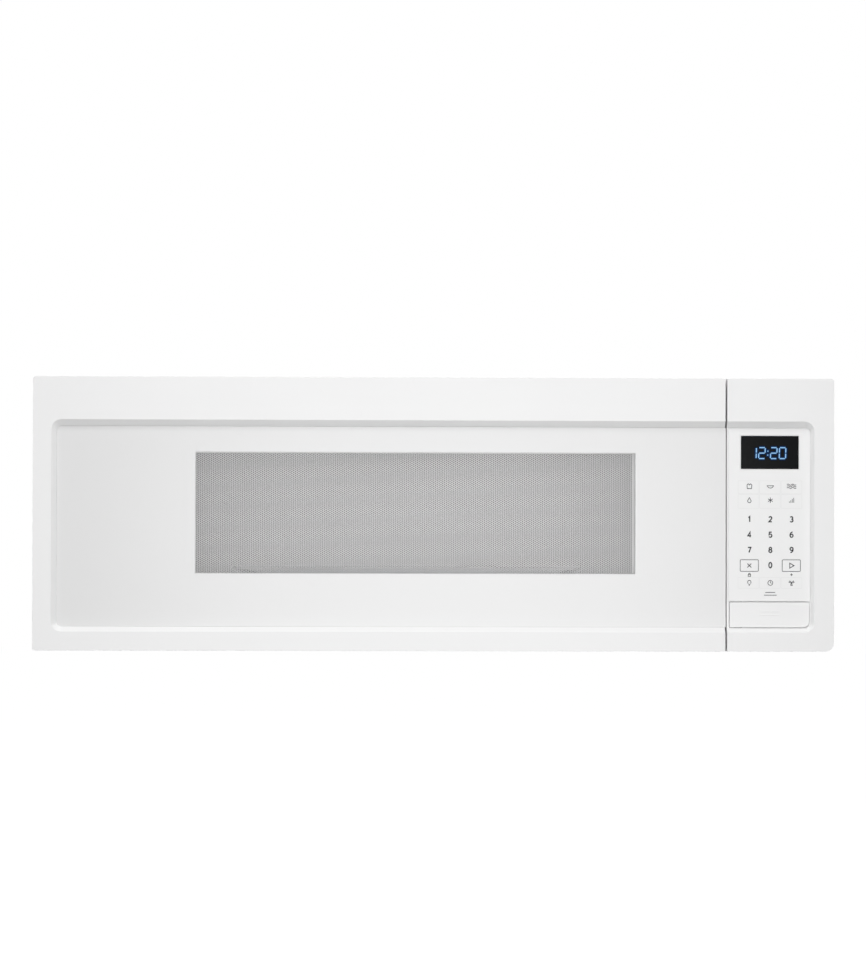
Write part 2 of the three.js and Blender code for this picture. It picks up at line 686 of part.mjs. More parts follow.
function basePan() {
  const y = [FLANGE_BACK + HINGE_PLATE + 2 * CLEAR, REAR_FRONT - CLEAR];
  const tray = cut(
    block(INNER_X, y, [0, PAN_LIP]),
    block(wider(INNER_X, -SHEET), wider(y, -SHEET), [SHEET, PAN_LIP + PAST]));
  const through = wider([0, SHEET], PAST);
  const cuts = [];
  for (const side of [-1, 1]) {
    const middle = side * (FILTER_FROM + FILTER_WIDE / 2);
    cuts.push(block(about(middle, FILTER_WIDE), FILTER_Y, through));
    const lamp = about(side * LAMP_AT, LAMP_WIDE - 2 * FILTER_LAP);
    cuts.push(block(lamp, wider(LAMP_Y, -FILTER_LAP), through));
  }
  for (let i = 0; i < AIR_SLOTS; i += 1) {
    const x = FAN_X + (i - (AIR_SLOTS - 1) / 2) * AIR_PITCH;
    cuts.push(block(about(x, AIR_SLOT), above(SHROUD_Y + AIR_BEHIND, AIR_LONG), through));
  }
  return cut(tray, ...cuts);
}

// Rear panel with stiffening ribs pressed inwards.
function rearPanel() {
  const sheet = block(CASE_X, [REAR_FRONT, BACK], [CLEAR, HEIGHT]);
  const half = REAR_RIB / 2;
  const fold = (y, from, z) => [
    [from, z - half],
    [from, z + half],
    [y, z + half],
    [y - REAR_RIB_DEEP, z + half - REAR_RIB_DEEP],
    [y - REAR_RIB_DEEP, z - half + REAR_RIB_DEEP],
    [y, z - half],
  ].map(([v, w]) => new THREE.Vector2(v, w));
  const x = wider(OVEN_X, -REAR_RIB_IN);
  const heights = Array.from({ length: REAR_RIBS }, (_, i) => THREE.MathUtils.lerp(
    ...OVEN_Z, (i + 0.5) / REAR_RIBS));
  const ribs = heights.map((z) => prism(fold(REAR_FRONT, REAR_FRONT + SHEET / 2, z), "x", ...x));
  const grooves = heights.map((z) => prism(fold(BACK, BACK + PAST, z), "x", ...wider(x, -SHEET)));
  return cut(join(sheet, ...ribs), ...grooves);
}

add("outer_case", outerCase(), whitePaint);
add("base_pan", basePan(), whitePaint);
add("rear_panel", rearPanel(), zincSteel);

// ---------------------------------------------------------------- oven
function ovenCavity() {
  const outer = roundRect(wider(OVEN_X, SHEET), wider(OVEN_Z, SHEET), OVEN_CORNER + SHEET);
  const inner = roundRect(OVEN_X, OVEN_Z, OVEN_CORNER);
  const flangeX = [INNER_X[0], PANEL_LEFT + FLANGE_PAST_SEAM];
  const flangeZ = [SHEET + CLEAR, INNER_TOP];
  const flange = prism(roundRect(flangeX, flangeZ), "y", OVEN_FRONT, FLANGE_BACK, [inner]);
  const walls = prism(outer, "y", OVEN_FRONT, OVEN_Y[1], [inner]);
  const back = prism(outer, "y", OVEN_Y[1] - SHEET / 2, OVEN_Y[1] + SHEET);
  const throughFlange = wider([OVEN_FRONT, FLANGE_BACK], PAST);
  const wallX = wider([OVEN_RIGHT, OVEN_SIDE], PAST);
  const cuts = [
    block(wallX, about(FEED_Y, FEED_LONG), about(FEED_Z, FEED_TALL)),
    rod(
      "z", HUB_STEM_R + HUB_STEM_HOLE, ...wider([OVEN_FLOOR - SHEET, OVEN_FLOOR], PAST),
      [TURN_X, TURN_Y]),
    ...hookSlots(throughFlange, HOOK_SWING),
  ];
  for (const [z0, z1] of [hingeNotch(1), hingeNotch(-1)]) {
    const x = [INNER_X[0] - PAST, HINGE_X + HINGE_IN + CLEAR];
    cuts.push(block(x, throughFlange, wider([z0, z1], CLEAR)));
  }
  for (let i = 0; i < STEAM_COLUMNS; i += 1) {
    for (let j = 0; j < STEAM_ROWS; j += 1) {
      const y = OVEN_FRONT + STEAM_BACK + i * STEAM_PITCH;
      const z = OVEN_CEILING - STEAM_DOWN + j * STEAM_PITCH;
      cuts.push(ventHole([OVEN_LEFT - SHEET, OVEN_LEFT], [y, z]));
    }
  }
  for (let i = 0; i < LAMP_COLUMNS; i += 1) {
    for (let j = 0; j < LAMP_ROWS; j += 1) {
      const y = CAVITY_LAMP_Y + (i - (LAMP_COLUMNS - 1) / 2) * STEAM_PITCH;
      const z = CAVITY_LAMP_Z + (j - (LAMP_ROWS - 1) / 2) * STEAM_PITCH;
      cuts.push(ventHole([OVEN_RIGHT, OVEN_SIDE], [y, z]));
    }
  }
  return cut(join(flange, walls, back), ...cuts);
}

function ventHole(wall, at) {
  return rod("x", STEAM_HOLE, ...wider(wall, PAST), at, 4);
}

// Heights of the hinge arm at the door's top (1) or bottom (-1).
function hingeNotch(side) {
  const middle = (HINGE_NOTCH - HINGE_ARM) / 2;
  const low = side > 0 ? HEIGHT - middle - HINGE_ARM : FRONT_LIFT + middle;
  return above(low, HINGE_ARM);
}

const CAVITY_LAMP_Y = OVEN_FRONT + CAVITY_LAMP_BACK;
const CAVITY_LAMP_Z = OVEN_CEILING - CAVITY_LAMP_DOWN;

// Lamp housing open towards the oven wall, with its diode board and plug.
function cavityLamp() {
  const y = about(CAVITY_LAMP_Y, CAVITY_LAMP_LONG);
  const z = about(CAVITY_LAMP_Z, CAVITY_LAMP_TALL);
  const x = above(OVEN_SIDE + CLEAR, CAVITY_LAMP_DEEP);
  const inside = [x[0] - PAST, x[1] - LAMP_WALL];
  const board = [x[1] - 2 * LAMP_WALL - PAST, x[1] - PAST];
  return join(
    cut(block(x, y, z), block(inside, wider(y, -LAMP_WALL), wider(z, -LAMP_WALL))),
    block(board, wider(y, -CAVITY_LAMP_LONG / 6), wider(z, -CAVITY_LAMP_TALL / 4)),
    block(
      [x[1] - LAMP_WALL / 2, x[1] + LAMP_PLUG], wider(y, -CAVITY_LAMP_LONG / 3),
      wider(z, -CAVITY_LAMP_TALL / 3)));
}

add("oven_cavity", ovenCavity(), greyEnamel);
add("cavity_lamp", cavityLamp(), greyPlastic);

// ---------------------------------------------------------------- turntable
const ROLLER_Z = OVEN_FLOOR + CLEAR + ROLLER_R;
const TRAY_Z = ROLLER_Z + ROLLER_R + CLEAR;
const TURN = [TURN_X, TURN_Y];

function trayLug(angle) {
  const reach = HUB_ARM - LUG_R;
  const at = [TURN_X + reach * Math.cos(angle), TURN_Y + reach * Math.sin(angle)];
  return rod("z", LUG_R, TRAY_Z - LUG_TALL, TRAY_Z + PAST, at, 10);
}

function turntableTray() {
  const bend = TRAY_FLAT_R + (TRAY_R - TRAY_FLAT_R) * TRAY_BEND;
  const dish = turned([
    [0, 0],
    [TRAY_FLAT_R, 0],
    [bend, TRAY_RISE],
    [TRAY_R, TRAY_RIM - TRAY_LIP],
    [TRAY_R, TRAY_RIM],
    [TRAY_R - TRAY_EDGE, TRAY_RIM],
    [bend - TRAY_EDGE, TRAY_RISE + TRAY_GLASS],
    [TRAY_FLAT_R, TRAY_GLASS],
    [0, TRAY_GLASS],
  ].map(([r, z]) => [r, TRAY_Z + z]), TURN, 40);
  const lugs = [1, 3, 5].map((sixth) => trayLug((sixth * Math.PI) / 3));
  return join(dish, ...lugs);
}

function driveHub() {
  const top = TRAY_Z - CLEAR;
  const low = OVEN_FLOOR + HUB_LIFT;
  const arms = [0, 2, 4].map((sixth) => {
    const angle = (sixth * Math.PI) / 3;
    const arm = new THREE.BoxGeometry(HUB_ARM, HUB_ARM_WIDE, HUB_ARM_TALL);
    arm.translate(HUB_ARM / 2, 0, top - HUB_ARM_TALL / 2);
    return solid(arm.rotateZ(angle).translate(TURN_X, TURN_Y, 0));
  });
  const body = turned([
    [0, OVEN_FLOOR - HUB_STEM_DOWN],
    [HUB_STEM_R, OVEN_FLOOR - HUB_STEM_DOWN],
    [HUB_STEM_R, low],
    [HUB_R, low],
    [HUB_R - HUB_WAIST, top - HUB_HEAD],
    [HUB_R, top],
    [0, top],
  ], TURN, 18);
  return join(body, ...arms);
}

function rollerRing() {
  const z = about(ROLLER_Z, RING_TALL);
  const hoop = tube("z", RING_R, RING_R - RING_WIDE, ...z, TURN, 30);
  const axles = [];
  const outer = ROLLER_AT + ROLLER_WIDE / 2 + CLEAR;
  for (let i = 0; i < ROLLERS; i += 1) {
    const parts = [
      [AXLE_R, RING_R - RING_WIDE / 3, outer + PAST],
      [AXLE_R + AXLE_HEAD, outer + CLEAR, outer + 2 * PAST],
    ];
    for (const [r, from, to] of parts) {
      const pin = new THREE.CylinderGeometry(r, r, to - from, 8);
      pin.rotateZ(Math.PI / 2).translate((from + to) / 2, 0, 0);
      pin.rotateZ((i * 2 * Math.PI) / ROLLERS).translate(TURN_X, TURN_Y, ROLLER_Z);
      axles.push(solid(pin));
    }
  }
  return join(hoop, ...axles);
}

// One roller, lying on the X axis at its distance from the turntable's axis.
function roller() {
  const x = about(ROLLER_AT, ROLLER_WIDE);
  return tube("x", ROLLER_R, AXLE_R + CLEAR, ...x, [0, 0], 20);
}

function turntableMotor() {
  const top = OVEN_FLOOR - SHEET - CLEAR;
  const z = [top - TURN_MOTOR_TALL, top];
  const can = rod("z", TURN_MOTOR_R, ...z, TURN, 20);
  const earX = about(TURN_X, 2 * (TURN_MOTOR_R + MOTOR_EAR));
  const ear = prism(
    roundRect(earX, about(TURN_Y, MOTOR_EAR_WIDE), MOTOR_EAR_R, 3), "z", top - LAMP_WALL, top);
  const gearbox = block(
    about(TURN_X + GEARBOX_OFF, GEARBOX_LONG), about(TURN_Y, GEARBOX_WIDE),
    [z[0] - GEARBOX_TALL, z[0] + PAST]);
  const side = TURN_X + TURN_MOTOR_R;
  const plug = block(
    [side - 2 * PAST, side + MOTOR_PLUG_LONG], about(TURN_Y, MOTOR_PLUG_WIDE),
    above(z[0], MOTOR_PLUG_TALL));
  const socket = rod("z", HUB_STEM_R + CLEAR, OVEN_FLOOR - HUB_STEM_DOWN - PAST, top + PAST, TURN);
  return cut(join(can, ear, gearbox, plug), socket);
}

add("turntable_tray", turntableTray(), clearGlass);
add("drive_hub", driveHub(), greyPlastic);
add("roller_ring", rollerRing(), greyPlastic);
for (let i = 0; i < ROLLERS; i += 1) {
  const wheel = add("roller_" + (i + 1), roller(), whitePaint);
  wheel.position.set(TURN_X, TURN_Y, ROLLER_Z);
  wheel.rotation.z = (i * 2 * Math.PI) / ROLLERS;
}
add("turntable_motor", turntableMotor(), zincSteel);

// ---------------------------------------------------------------- door
const LATCH_BAR_Y = above(DOOR_SHELL + BAR_BEHIND, BAR_DEEP);
const LATCH_BAR_Z = [HOOK_LOW - BAR_PAST, HOOKS_Z[1] + HOOK_TALL + BAR_PAST];

function doorFrame() {
  const x = [LEFT, DOOR_RIGHT];
  const y = [FRONT, DOOR_BACK];
  const hull = prism(roundRect(x, FRONT_Z, [EDGE_R, 0, 0, EDGE_R]), "y", ...y);
  const pocket = prism(
    roundRect([FLOOR_X[0], DOOR_RIGHT + PAST], FLOOR_Z, [RECESS_INNER_R, 0, 0, RECESS_INNER_R]),
    "y", GLASS_FRONT - PAST, POCKET_FLOOR);
  const inX = [LEFT + MOULD_WALL, DOOR_RIGHT - DOOR_SIDE];
  const inZ = wider(FRONT_Z, -MOULD_WALL);
  const rear = DOOR_BACK + PAST;
  const behind = FRONT + MOULD_WALL;
  const hollows = [
    block(inX, [DOOR_SHELL, rear], inZ),
    block(inX, [behind, rear], [RECESS_Z[1] + MOULD_WALL, inZ[1]]),
    block(inX, [behind, rear], [inZ[0], RECESS_Z[0] - MOULD_WALL]),
    block([inX[0], RECESS_X[0] - MOULD_WALL], [behind, rear], inZ),
  ];
  const shell = cut(hull, recess(), pocket, ...hollows);
  const blocks = [[HEIGHT - HINGE_BLOCK, HEIGHT - PAST], [FRONT_LIFT + PAST, FRONT_LIFT + HINGE_BLOCK]]
    .map((z) => block(
      above(LEFT + EDGE_R, HINGE_BLOCK - EDGE_R), [HINGE_Y - HINGE_BLOCK_END, DOOR_BACK], z));
  const guideX = [HOOK_X[1] + CLEAR, inX[1] + PAST];
  const guides = [LATCH_BAR_Z[0] + BAR_GUIDE_FOOT, LATCH_BAR_Z[1] - BAR_GUIDE_TOP].map(
    (z) => block(guideX, LATCH_BAR_Y, above(z, BAR_GUIDE)));
  const stopX = [HOOK_X[0] - HOOK_THICK / 2, inX[1] + PAST];
  const stops = [LATCH_BAR_Z[0] - CLEAR - BAR_STOP, LATCH_BAR_Z[1] + 2 * CLEAR + LATCH_SPRING].map(
    (z) => block(stopX, LATCH_BAR_Y, above(z, BAR_STOP)));
  const window = prism(
    roundRect(wider(WINDOW_X, WINDOW_MARGIN), wider(WINDOW_Z, WINDOW_MARGIN), WINDOW_R),
    "y", GLASS_BACK, DOOR_SHELL + PAST);
  const body = join(shell, ...blocks, ...guides, ...stops);
  const notchX = [LEFT - PAST, HINGE_X + HINGE_IN + HINGE_NOTCH_PAST];
  const notchY = [HINGE_Y - HINGE_NOTCH_END, rear];
  const at = [HINGE_X, HINGE_Y];
  const bore = HINGE_PIN_R + CLEAR;
  return cut(
    body,
    window,
    block(notchX, notchY, [HEIGHT - HINGE_NOTCH, HEIGHT + PAST]),
    block(notchX, notchY, [FRONT_LIFT - PAST, FRONT_LIFT + HINGE_NOTCH]),
    rod("z", bore, HEIGHT - HINGE_NOTCH - HINGE_PIN, HEIGHT, at),
    rod("z", bore, FRONT_LIFT, FRONT_LIFT + HINGE_NOTCH + HINGE_PIN, at));
}

function doorGlass() {
  const x = [FLOOR_X[0] + CLEAR, DOOR_RIGHT + GLASS_OVER];
  const r = RECESS_INNER_R - CLEAR;
  const outline = roundRect(x, wider(FLOOR_Z, -CLEAR), [r, 0, 0, r]);
  return prism(outline, "y", GLASS_FRONT, GLASS_BACK);
}

// The window's opening in the choke frame, and the pane and screen that cover it.
const MOUTH_X = wider(WINDOW_X, MOUTH_SIDE);
const MOUTH_Z = wider(WINDOW_Z, MOUTH_TOP);
const PANE_X = wider(MOUTH_X, PANE_LAP);
const PANE_Z = wider(MOUTH_Z, PANE_LAP);
const LAND_BACK = DOOR_BACK - CLEAR;
const LAND_FRONT = LAND_BACK - CHOKE_SHEET;

// Perforated sheet with turned-back edges that stand on the choke frame.
function doorScreen() {
  const x = wider(PANE_X, CLEAR + SCREEN_SHEET);
  const z = wider(PANE_Z, CLEAR + SCREEN_SHEET);
  const y = [FRONT + SCREEN_BEHIND, LAND_FRONT - CLEAR];
  const tray = cut(
    block(x, y, z),
    block(wider(x, -SCREEN_SHEET), [y[0] + SCREEN_SHEET, y[1] + PAST], wider(z, -SCREEN_SHEET)));
  const pitchX = (WINDOW_X[1] - WINDOW_X[0]) / SCREEN_COLUMNS;
  const pitchZ = (WINDOW_Z[1] - WINDOW_Z[0]) / SCREEN_ROWS;
  const holes = [];
  for (let j = 0; j < SCREEN_ROWS; j += 1) {
    const shift = j % 2 ? 0.75 : 0.25;
    for (let i = 0; i < SCREEN_COLUMNS; i += 1) {
      const at = [WINDOW_X[0] + (i + shift) * pitchX, WINDOW_Z[0] + (j + 0.5) * pitchZ];
      holes.push(diamond(at, SCREEN_HOLE));
    }
  }
  const throughSheet = wider([y[0], y[0] + SCREEN_SHEET], PAST);
  const punch = holes.map((hole) => prism(hole, "y", ...throughSheet));
  return cut(tray, ...punch);
}

function diamond([u, v], half) {
  return [[half, 0], [0, half], [-half, 0], [0, -half]].map(
    ([du, dv]) => new THREE.Vector2(u + du, v + dv));
}

const INNER_GROOVE_X = wider(OVEN_X, CHOKE_LAND);
const INNER_GROOVE_Z = wider(OVEN_Z, CHOKE_LAND);
const OUTER_GROOVE_X = wider(INNER_GROOVE_X, CHOKE_GROOVE);
const OUTER_GROOVE_Z = wider(INNER_GROOVE_Z, CHOKE_GROOVE);

// Pressed steel frame with a choke channel all round the oven's mouth.
function doorChokeFrame() {
  const x = [LEFT + HINGE_BLOCK + CLEAR, HOOK_X[0] - CHOKE_TO_HOOK];
  const z = wider(FRONT_Z, -MOULD_WALL - CLEAR);
  const frontY = LAND_BACK - CHOKE_DEEP;
  const plate = block(x, [LAND_FRONT, LAND_BACK], z);
  const channel = cut(
    block(
      wider(OUTER_GROOVE_X, CHOKE_SHEET), [frontY, LAND_BACK], wider(OUTER_GROOVE_Z, CHOKE_SHEET)),
    block(
      wider(INNER_GROOVE_X, -CHOKE_SHEET), [frontY - PAST, LAND_FRONT],
      wider(INNER_GROOVE_Z, -CHOKE_SHEET)));
  const groove = cut(
    block(OUTER_GROOVE_X, [frontY + CHOKE_SHEET, DOOR_BACK + PAST], OUTER_GROOVE_Z),
    block(INNER_GROOVE_X, [frontY, DOOR_BACK + 2 * PAST], INNER_GROOVE_Z));
  const mouth = block(MOUTH_X, wider([LAND_FRONT, LAND_BACK], PAST), MOUTH_Z);
  return cut(join(plate, channel), groove, mouth);
}

function doorChokeCover() {
  const outer = roundRect(wider(OUTER_GROOVE_X, -CLEAR), wider(OUTER_GROOVE_Z, -CLEAR));
  const inner = roundRect(wider(INNER_GROOVE_X, CLEAR), wider(INNER_GROOVE_Z, CLEAR));
  return prism(outer, "y", LAND_BACK - CHOKE_COVER, LAND_BACK, [inner]);
}

function doorInnerPane() {
  return block(PANE_X, [LAND_FRONT - CLEAR - PANE, LAND_FRONT - CLEAR], PANE_Z);
}

// Latch plate with two hooks, which slides up inside the door's free edge.
function latchHooks() {
  const bar = block(HOOK_X, LATCH_BAR_Y, LATCH_BAR_Z);
  const barb = CATCH_Y[1] + CLEAR;
  const profile = [
    [LATCH_BAR_Y[1] - PAST, HOOK_BARB],
    [barb, HOOK_BARB],
    [barb, 0],
    [HOOK_TIP - HOOK_NOSE, 0],
    [HOOK_TIP, HOOK_BARB],
    [HOOK_TIP, HOOK_TALL - HOOK_CROWN],
    [HOOK_TIP - HOOK_SLOPE, HOOK_TALL],
    [LATCH_BAR_Y[1] - PAST, HOOK_TALL],
  ];
  const hooks = HOOKS_Z.map((low) => prism(
    profile.map(([y, z]) => new THREE.Vector2(y, low + z)), "x", ...HOOK_X));
  return join(bar, ...hooks);
}

function latchSpring() {
  const from = LATCH_BAR_Z[1] + CLEAR;
  const middle = (LATCH_BAR_Y[0] + LATCH_BAR_Y[1]) / 2;
  return coil(
    "z", [HOOK_AT, middle], LATCH_SPRING_R, LATCH_WIRE, from, from + LATCH_SPRING, SPRING_TURNS);
}

// Hinge bracket: a plate behind the oven flange, an arm through it and a pin.
function hinge(side) {
  const z = hingeNotch(side);
  const arm = prism(
    roundRect(
      [HINGE_X - HINGE_ARM_HALF, HINGE_X + HINGE_IN],
      [HINGE_Y - HINGE_ARM_END, FLANGE_BACK + CLEAR + PAST], [HINGE_ARM_R, HINGE_ARM_R, 0, 0]),
    "z", ...z);
  const plateZ = side > 0 ? [z[1] - HINGE_PLATE_TALL, z[1]] : [z[0], z[0] + HINGE_PLATE_TALL];
  const plate = block(
    above(INNER_X[0] + SHEET, HINGE_PLATE_WIDE), above(FLANGE_BACK + CLEAR, HINGE_PLATE), plateZ);
  const pinZ = side > 0 ? [z[0] - HINGE_PIN, z[0] + PAST] : [z[1] - PAST, z[1] + HINGE_PIN];
  const pin = rod("z", HINGE_PIN_R, ...pinZ, [HINGE_X, HINGE_Y]);
  return join(arm, plate, pin);
}

const door = new THREE.Group();
group.add(door);
add("door_frame", doorFrame(), whiteMoulding, door);
add("door_glass", doorGlass(), whiteGlass, door);
add("door_screen", doorScreen(), whitePaint, door);
add("door_choke_frame", doorChokeFrame(), whitePaint, door);
add("door_choke_cover", doorChokeCover(), greyPlastic, door);
add("door_inner_pane", doorInnerPane(), clearGlass, door);
add("latch_hooks", latchHooks(), greyPlastic, door);
add("latch_spring", latchSpring(), brightSteel, door);
add("hinge_upper", hinge(1), zincSteel);
add("hinge_lower", hinge(-1), zincSteel);

// ---------------------------------------------------------------- control panel
const PANEL_BACK = OVEN_FRONT - CLEAR;
const BUTTON_X = [PANEL_LEFT + BUTTON_IN, FLOOR_X[1] - BUTTON_TO_BEVEL];
const BUTTON_Z = above(FLOOR_Z[0], BUTTON_TALL);
const BUTTON_MIDDLE = (BUTTON_X[0] + BUTTON_X[1]) / 2;
const CAP_FRONT = GLASS_FRONT - BUTTON_PROUD;
const CAP_BACK = CAP_FRONT + BUTTON_CAP;
const MEMBRANE_X = [PANEL_LEFT + MEMBRANE_IN, FLOOR_X[1] - CLEAR];
const MEMBRANE_Z = [BUTTON_Z[1] + MEMBRANE_UP, FLOOR_Z[1] - CLEAR];
const DISPLAY_X = above(PANEL_LEFT + DISPLAY_IN, DISPLAY_WIDE);
const DISPLAY_Z = above(FLOOR_Z[1] - DISPLAY_DOWN - DISPLAY_TALL, DISPLAY_TALL);
const PANEL_POCKET = GLASS_FRONT + MEMBRANE + CLEAR;
const PANEL_SHELL = PANEL_POCKET + MOULD_WALL;
const GUIDE_Y = above(DOOR_BACK - BUTTON_GUIDE_BACK - BUTTON_GUIDE, BUTTON_GUIDE);
const BOARD_Y = above(FRONT + BOARD_BEHIND, BOARD);
const BOARD_X = [PANEL_LEFT + BOARD_IN, FLOOR_X[1] - BOARD_TO_BEVEL];
const BOARD_Z = [BOARD_FOOT, FLOOR_Z[1]];
const buttonOutline = (by) => roundRect(
  wider(BUTTON_X, by), wider(BUTTON_Z, by), [1, BUTTON_FOOT_R, 1, 1].map((r) => r + by));

function controlPanel() {
  const x = [PANEL_LEFT, RIGHT];
  const hull = prism(
    roundRect(x, FRONT_Z, [0, FOOT_R, EDGE_R, 0]), "y", FRONT, PANEL_BACK);
  const pocket = prism(
    roundRect(wider(MEMBRANE_X, CLEAR), wider(MEMBRANE_Z, CLEAR), [0, 0, RECESS_INNER_R, 0]),
    "y", GLASS_FRONT - PAST, PANEL_POCKET);
  const inX = [x[0] + PANEL_SIDE, x[1] - MOULD_WALL];
  const inZ = wider(FRONT_Z, -MOULD_WALL);
  const rear = PANEL_BACK + PAST;
  const behind = FRONT + MOULD_WALL;
  const corner = FOOT_R - MOULD_WALL;
  const hollows = [
    prism(roundRect(inX, inZ, [0, corner, 0, 0]), "y", PANEL_SHELL, rear),
    block(inX, [behind, rear], [RECESS_Z[1] + MOULD_WALL, inZ[1]]),
    block([RECESS_X[1] + MOULD_WALL, inX[1]], [behind, rear], [inZ[0] + corner, inZ[1]]),
    block([inX[0], inX[1] - corner], [behind, rear], [inZ[0], RECESS_Z[0] - MOULD_WALL]),
  ];
  const shell = cut(hull, recess(), pocket, ...hollows);
  const bosses = wider(BOARD_X, -BOSS_IN).flatMap((u) => wider(BOARD_Z, -BOSS_IN).map(
    (v) => rod("y", BOSS_R, PANEL_SHELL - PAST, BOARD_Y[0] - CLEAR, [u, v], 10)));
  const guideZ = [FRONT_Z[0] + PAST, BUTTON_Z[1] + HOOK_THICK];
  const guide = block(about(BUTTON_MIDDLE, BUTTON_GUIDE_WIDE), GUIDE_Y, guideZ);
  const body = join(shell, ...bosses, guide);
  const hole = STEM + 2 * CLEAR;
  const seat = roundRect(wider(DISPLAY_X, -DISPLAY_LIP), wider(DISPLAY_Z, -DISPLAY_LIP));
  return cut(
    body,
    prism(seat, "y", GLASS_FRONT, PANEL_SHELL + PAST),
    prism(buttonOutline(BUTTON_CLEAR), "y", FRONT - PAST, PANEL_SHELL + PAST),
    block(about(BUTTON_MIDDLE, hole), wider(GUIDE_Y, PAST), about(STEM_Z, hole)));
}

function keypadMembrane() {
  const r = RECESS_INNER_R - CLEAR;
  return prism(
    roundRect(MEMBRANE_X, MEMBRANE_Z, [0, 0, r, 0]), "y", GLASS_FRONT, GLASS_FRONT + MEMBRANE,
    [roundRect(wider(DISPLAY_X, CLEAR), wider(DISPLAY_Z, CLEAR)).reverse()]);
}

function displayWindow() {
  return block(DISPLAY_X, [GLASS_FRONT - DISPLAY_PROUD, GLASS_FRONT + MEMBRANE], DISPLAY_Z);
}

// Circuit board with its display module, relays, connector, supply and capacitor.
function controlBoard() {
  const board = block(BOARD_X, BOARD_Y, BOARD_Z);
  const [low, high] = wider(BOARD_Y, -SOLDER);
  const module = block(
    wider(DISPLAY_X, -MODULE_IN), [PANEL_POCKET + PAST, low], wider(DISPLAY_Z, -MODULE_IN));
  const relays = [0, 1, 2].map((i) => block(
    above(BOARD_X[0] + RELAY_IN + i * RELAY_PITCH, RELAY_WIDE), above(high, RELAY_DEEP),
    above(BOARD_Z[1] - RELAY_DOWN, RELAY_TALL)));
  const left = BOARD_X[0] + CONNECTOR_IN;
  const connector = block(
    above(left, CONNECTOR_WIDE), above(high, CONNECTOR_DEEP),
    above(BOARD_Z[0] + CONNECTOR_UP, CONNECTOR_TALL));
  const supply = block(
    above(left, SUPPLY_WIDE), above(high, SUPPLY_DEEP), above(BOARD_Z[0] + SUPPLY_UP, SUPPLY_TALL));
  const bufferAt = [BOARD_X[1] - BUFFER_IN, BOARD_Z[0] + BUFFER_UP];
  const buffer = rod("y", BUFFER_R, high, high + BUFFER_LONG, bufferAt, 12);
  return join(board, module, ...relays, connector, supply, buffer);
}

const LEVER_Y = OVEN_FRONT + LEVER_BACK;
const STEM_END = LEVER_Y - LEVER_THICK - CLEAR;

// Hollow cap with two grip ribs, and the stem that pushes the lever.
function releaseButton() {
  const shell = cut(
    prism(buttonOutline(0), "y", CAP_FRONT, CAP_BACK),
    prism(
      roundRect(
        wider(BUTTON_X, -BUTTON_WALL), wider(BUTTON_Z, -BUTTON_WALL),
        [0, BUTTON_FOOT_R - PAST, 0, 0]),
      "y", CAP_FRONT + BUTTON_WALL, CAP_BACK + PAST));
  const middle = (BUTTON_Z[0] + BUTTON_Z[1]) / 2;
  const ribs = [0, BUTTON_RIB_PITCH].map((up) => block(
    about(BUTTON_MIDDLE, BUTTON_RIB_LONG), [CAP_FRONT - BUTTON_RIB_PROUD, CAP_FRONT + PAST],
    about(middle + up, BUTTON_RIB)));
  const inside = CAP_FRONT + PAST;
  const root = block(
    about(BUTTON_MIDDLE, 2 * STEM), [inside, CAP_BACK], about(STEM_Z, 2 * STEM));
  const stem = block(
    about(BUTTON_MIDDLE, STEM), [inside, STEM_END - STEM_NUB], about(STEM_Z, STEM));
  const nub = block(
    about(BUTTON_MIDDLE, STEM), [STEM_END - STEM_NUB - PAST, STEM_END],
    about(STEM_Z, STEM_NUB_TALL));
  return join(shell, ...ribs, root, stem, nub);
}

function buttonSpring() {
  return coil(
    "y", [BUTTON_MIDDLE, STEM_Z], BUTTON_SPRING_R, BUTTON_WIRE, CAP_BACK + CLEAR,
    GUIDE_Y[0] - CLEAR, SPRING_TURNS);
}

// Bell crank: the button pushes the long arm back, and the short arm lifts the hooks.
function releaseLever() {
  const push = about(BUTTON_MIDDLE, LEVER_ARM);
  const shaft = rod("x", LEVER_SHAFT_R, HOOK_X[0], push[1], [LEVER_Y, LEVER_Z]);
  const arm = block(
    push, [LEVER_Y - LEVER_THICK, LEVER_Y + PAST], [STEM_Z - LEVER_TOE, LEVER_Z + LEVER_THICK]);
  const lift = block(
    HOOK_X, [LEVER_Y - LEVER_THICK, LEVER_Y + LIFT_ARM], [LEVER_Z - LEVER_THICK / 2, HOOK_LOW - CLEAR]);
  return join(shaft, arm, lift);
}

add("control_panel", controlPanel(), whiteMoulding);
add("keypad_membrane", keypadMembrane(), whiteMoulding);
add("display_window", displayWindow(), blackPlastic);
add("control_board", controlBoard(), boardGreen);
add("release_button", releaseButton(), whiteMoulding);
add("button_spring", buttonSpring(), brightSteel);
add("release_lever", releaseLever(), greyPlastic);

// ---------------------------------------------------------------- interlock
const SIDE_X = above(HOOK_X[1] + HOOK_SWING + SLOT_CLEAR, CATCH_SHEET);
const SWITCH_X = [SIDE_X[0] - CLEAR - SWITCH_WIDE, SIDE_X[0] - CLEAR];
const SWITCH_Y = above(HOOK_TIP + SWITCH_BEHIND, SWITCH_DEEP);

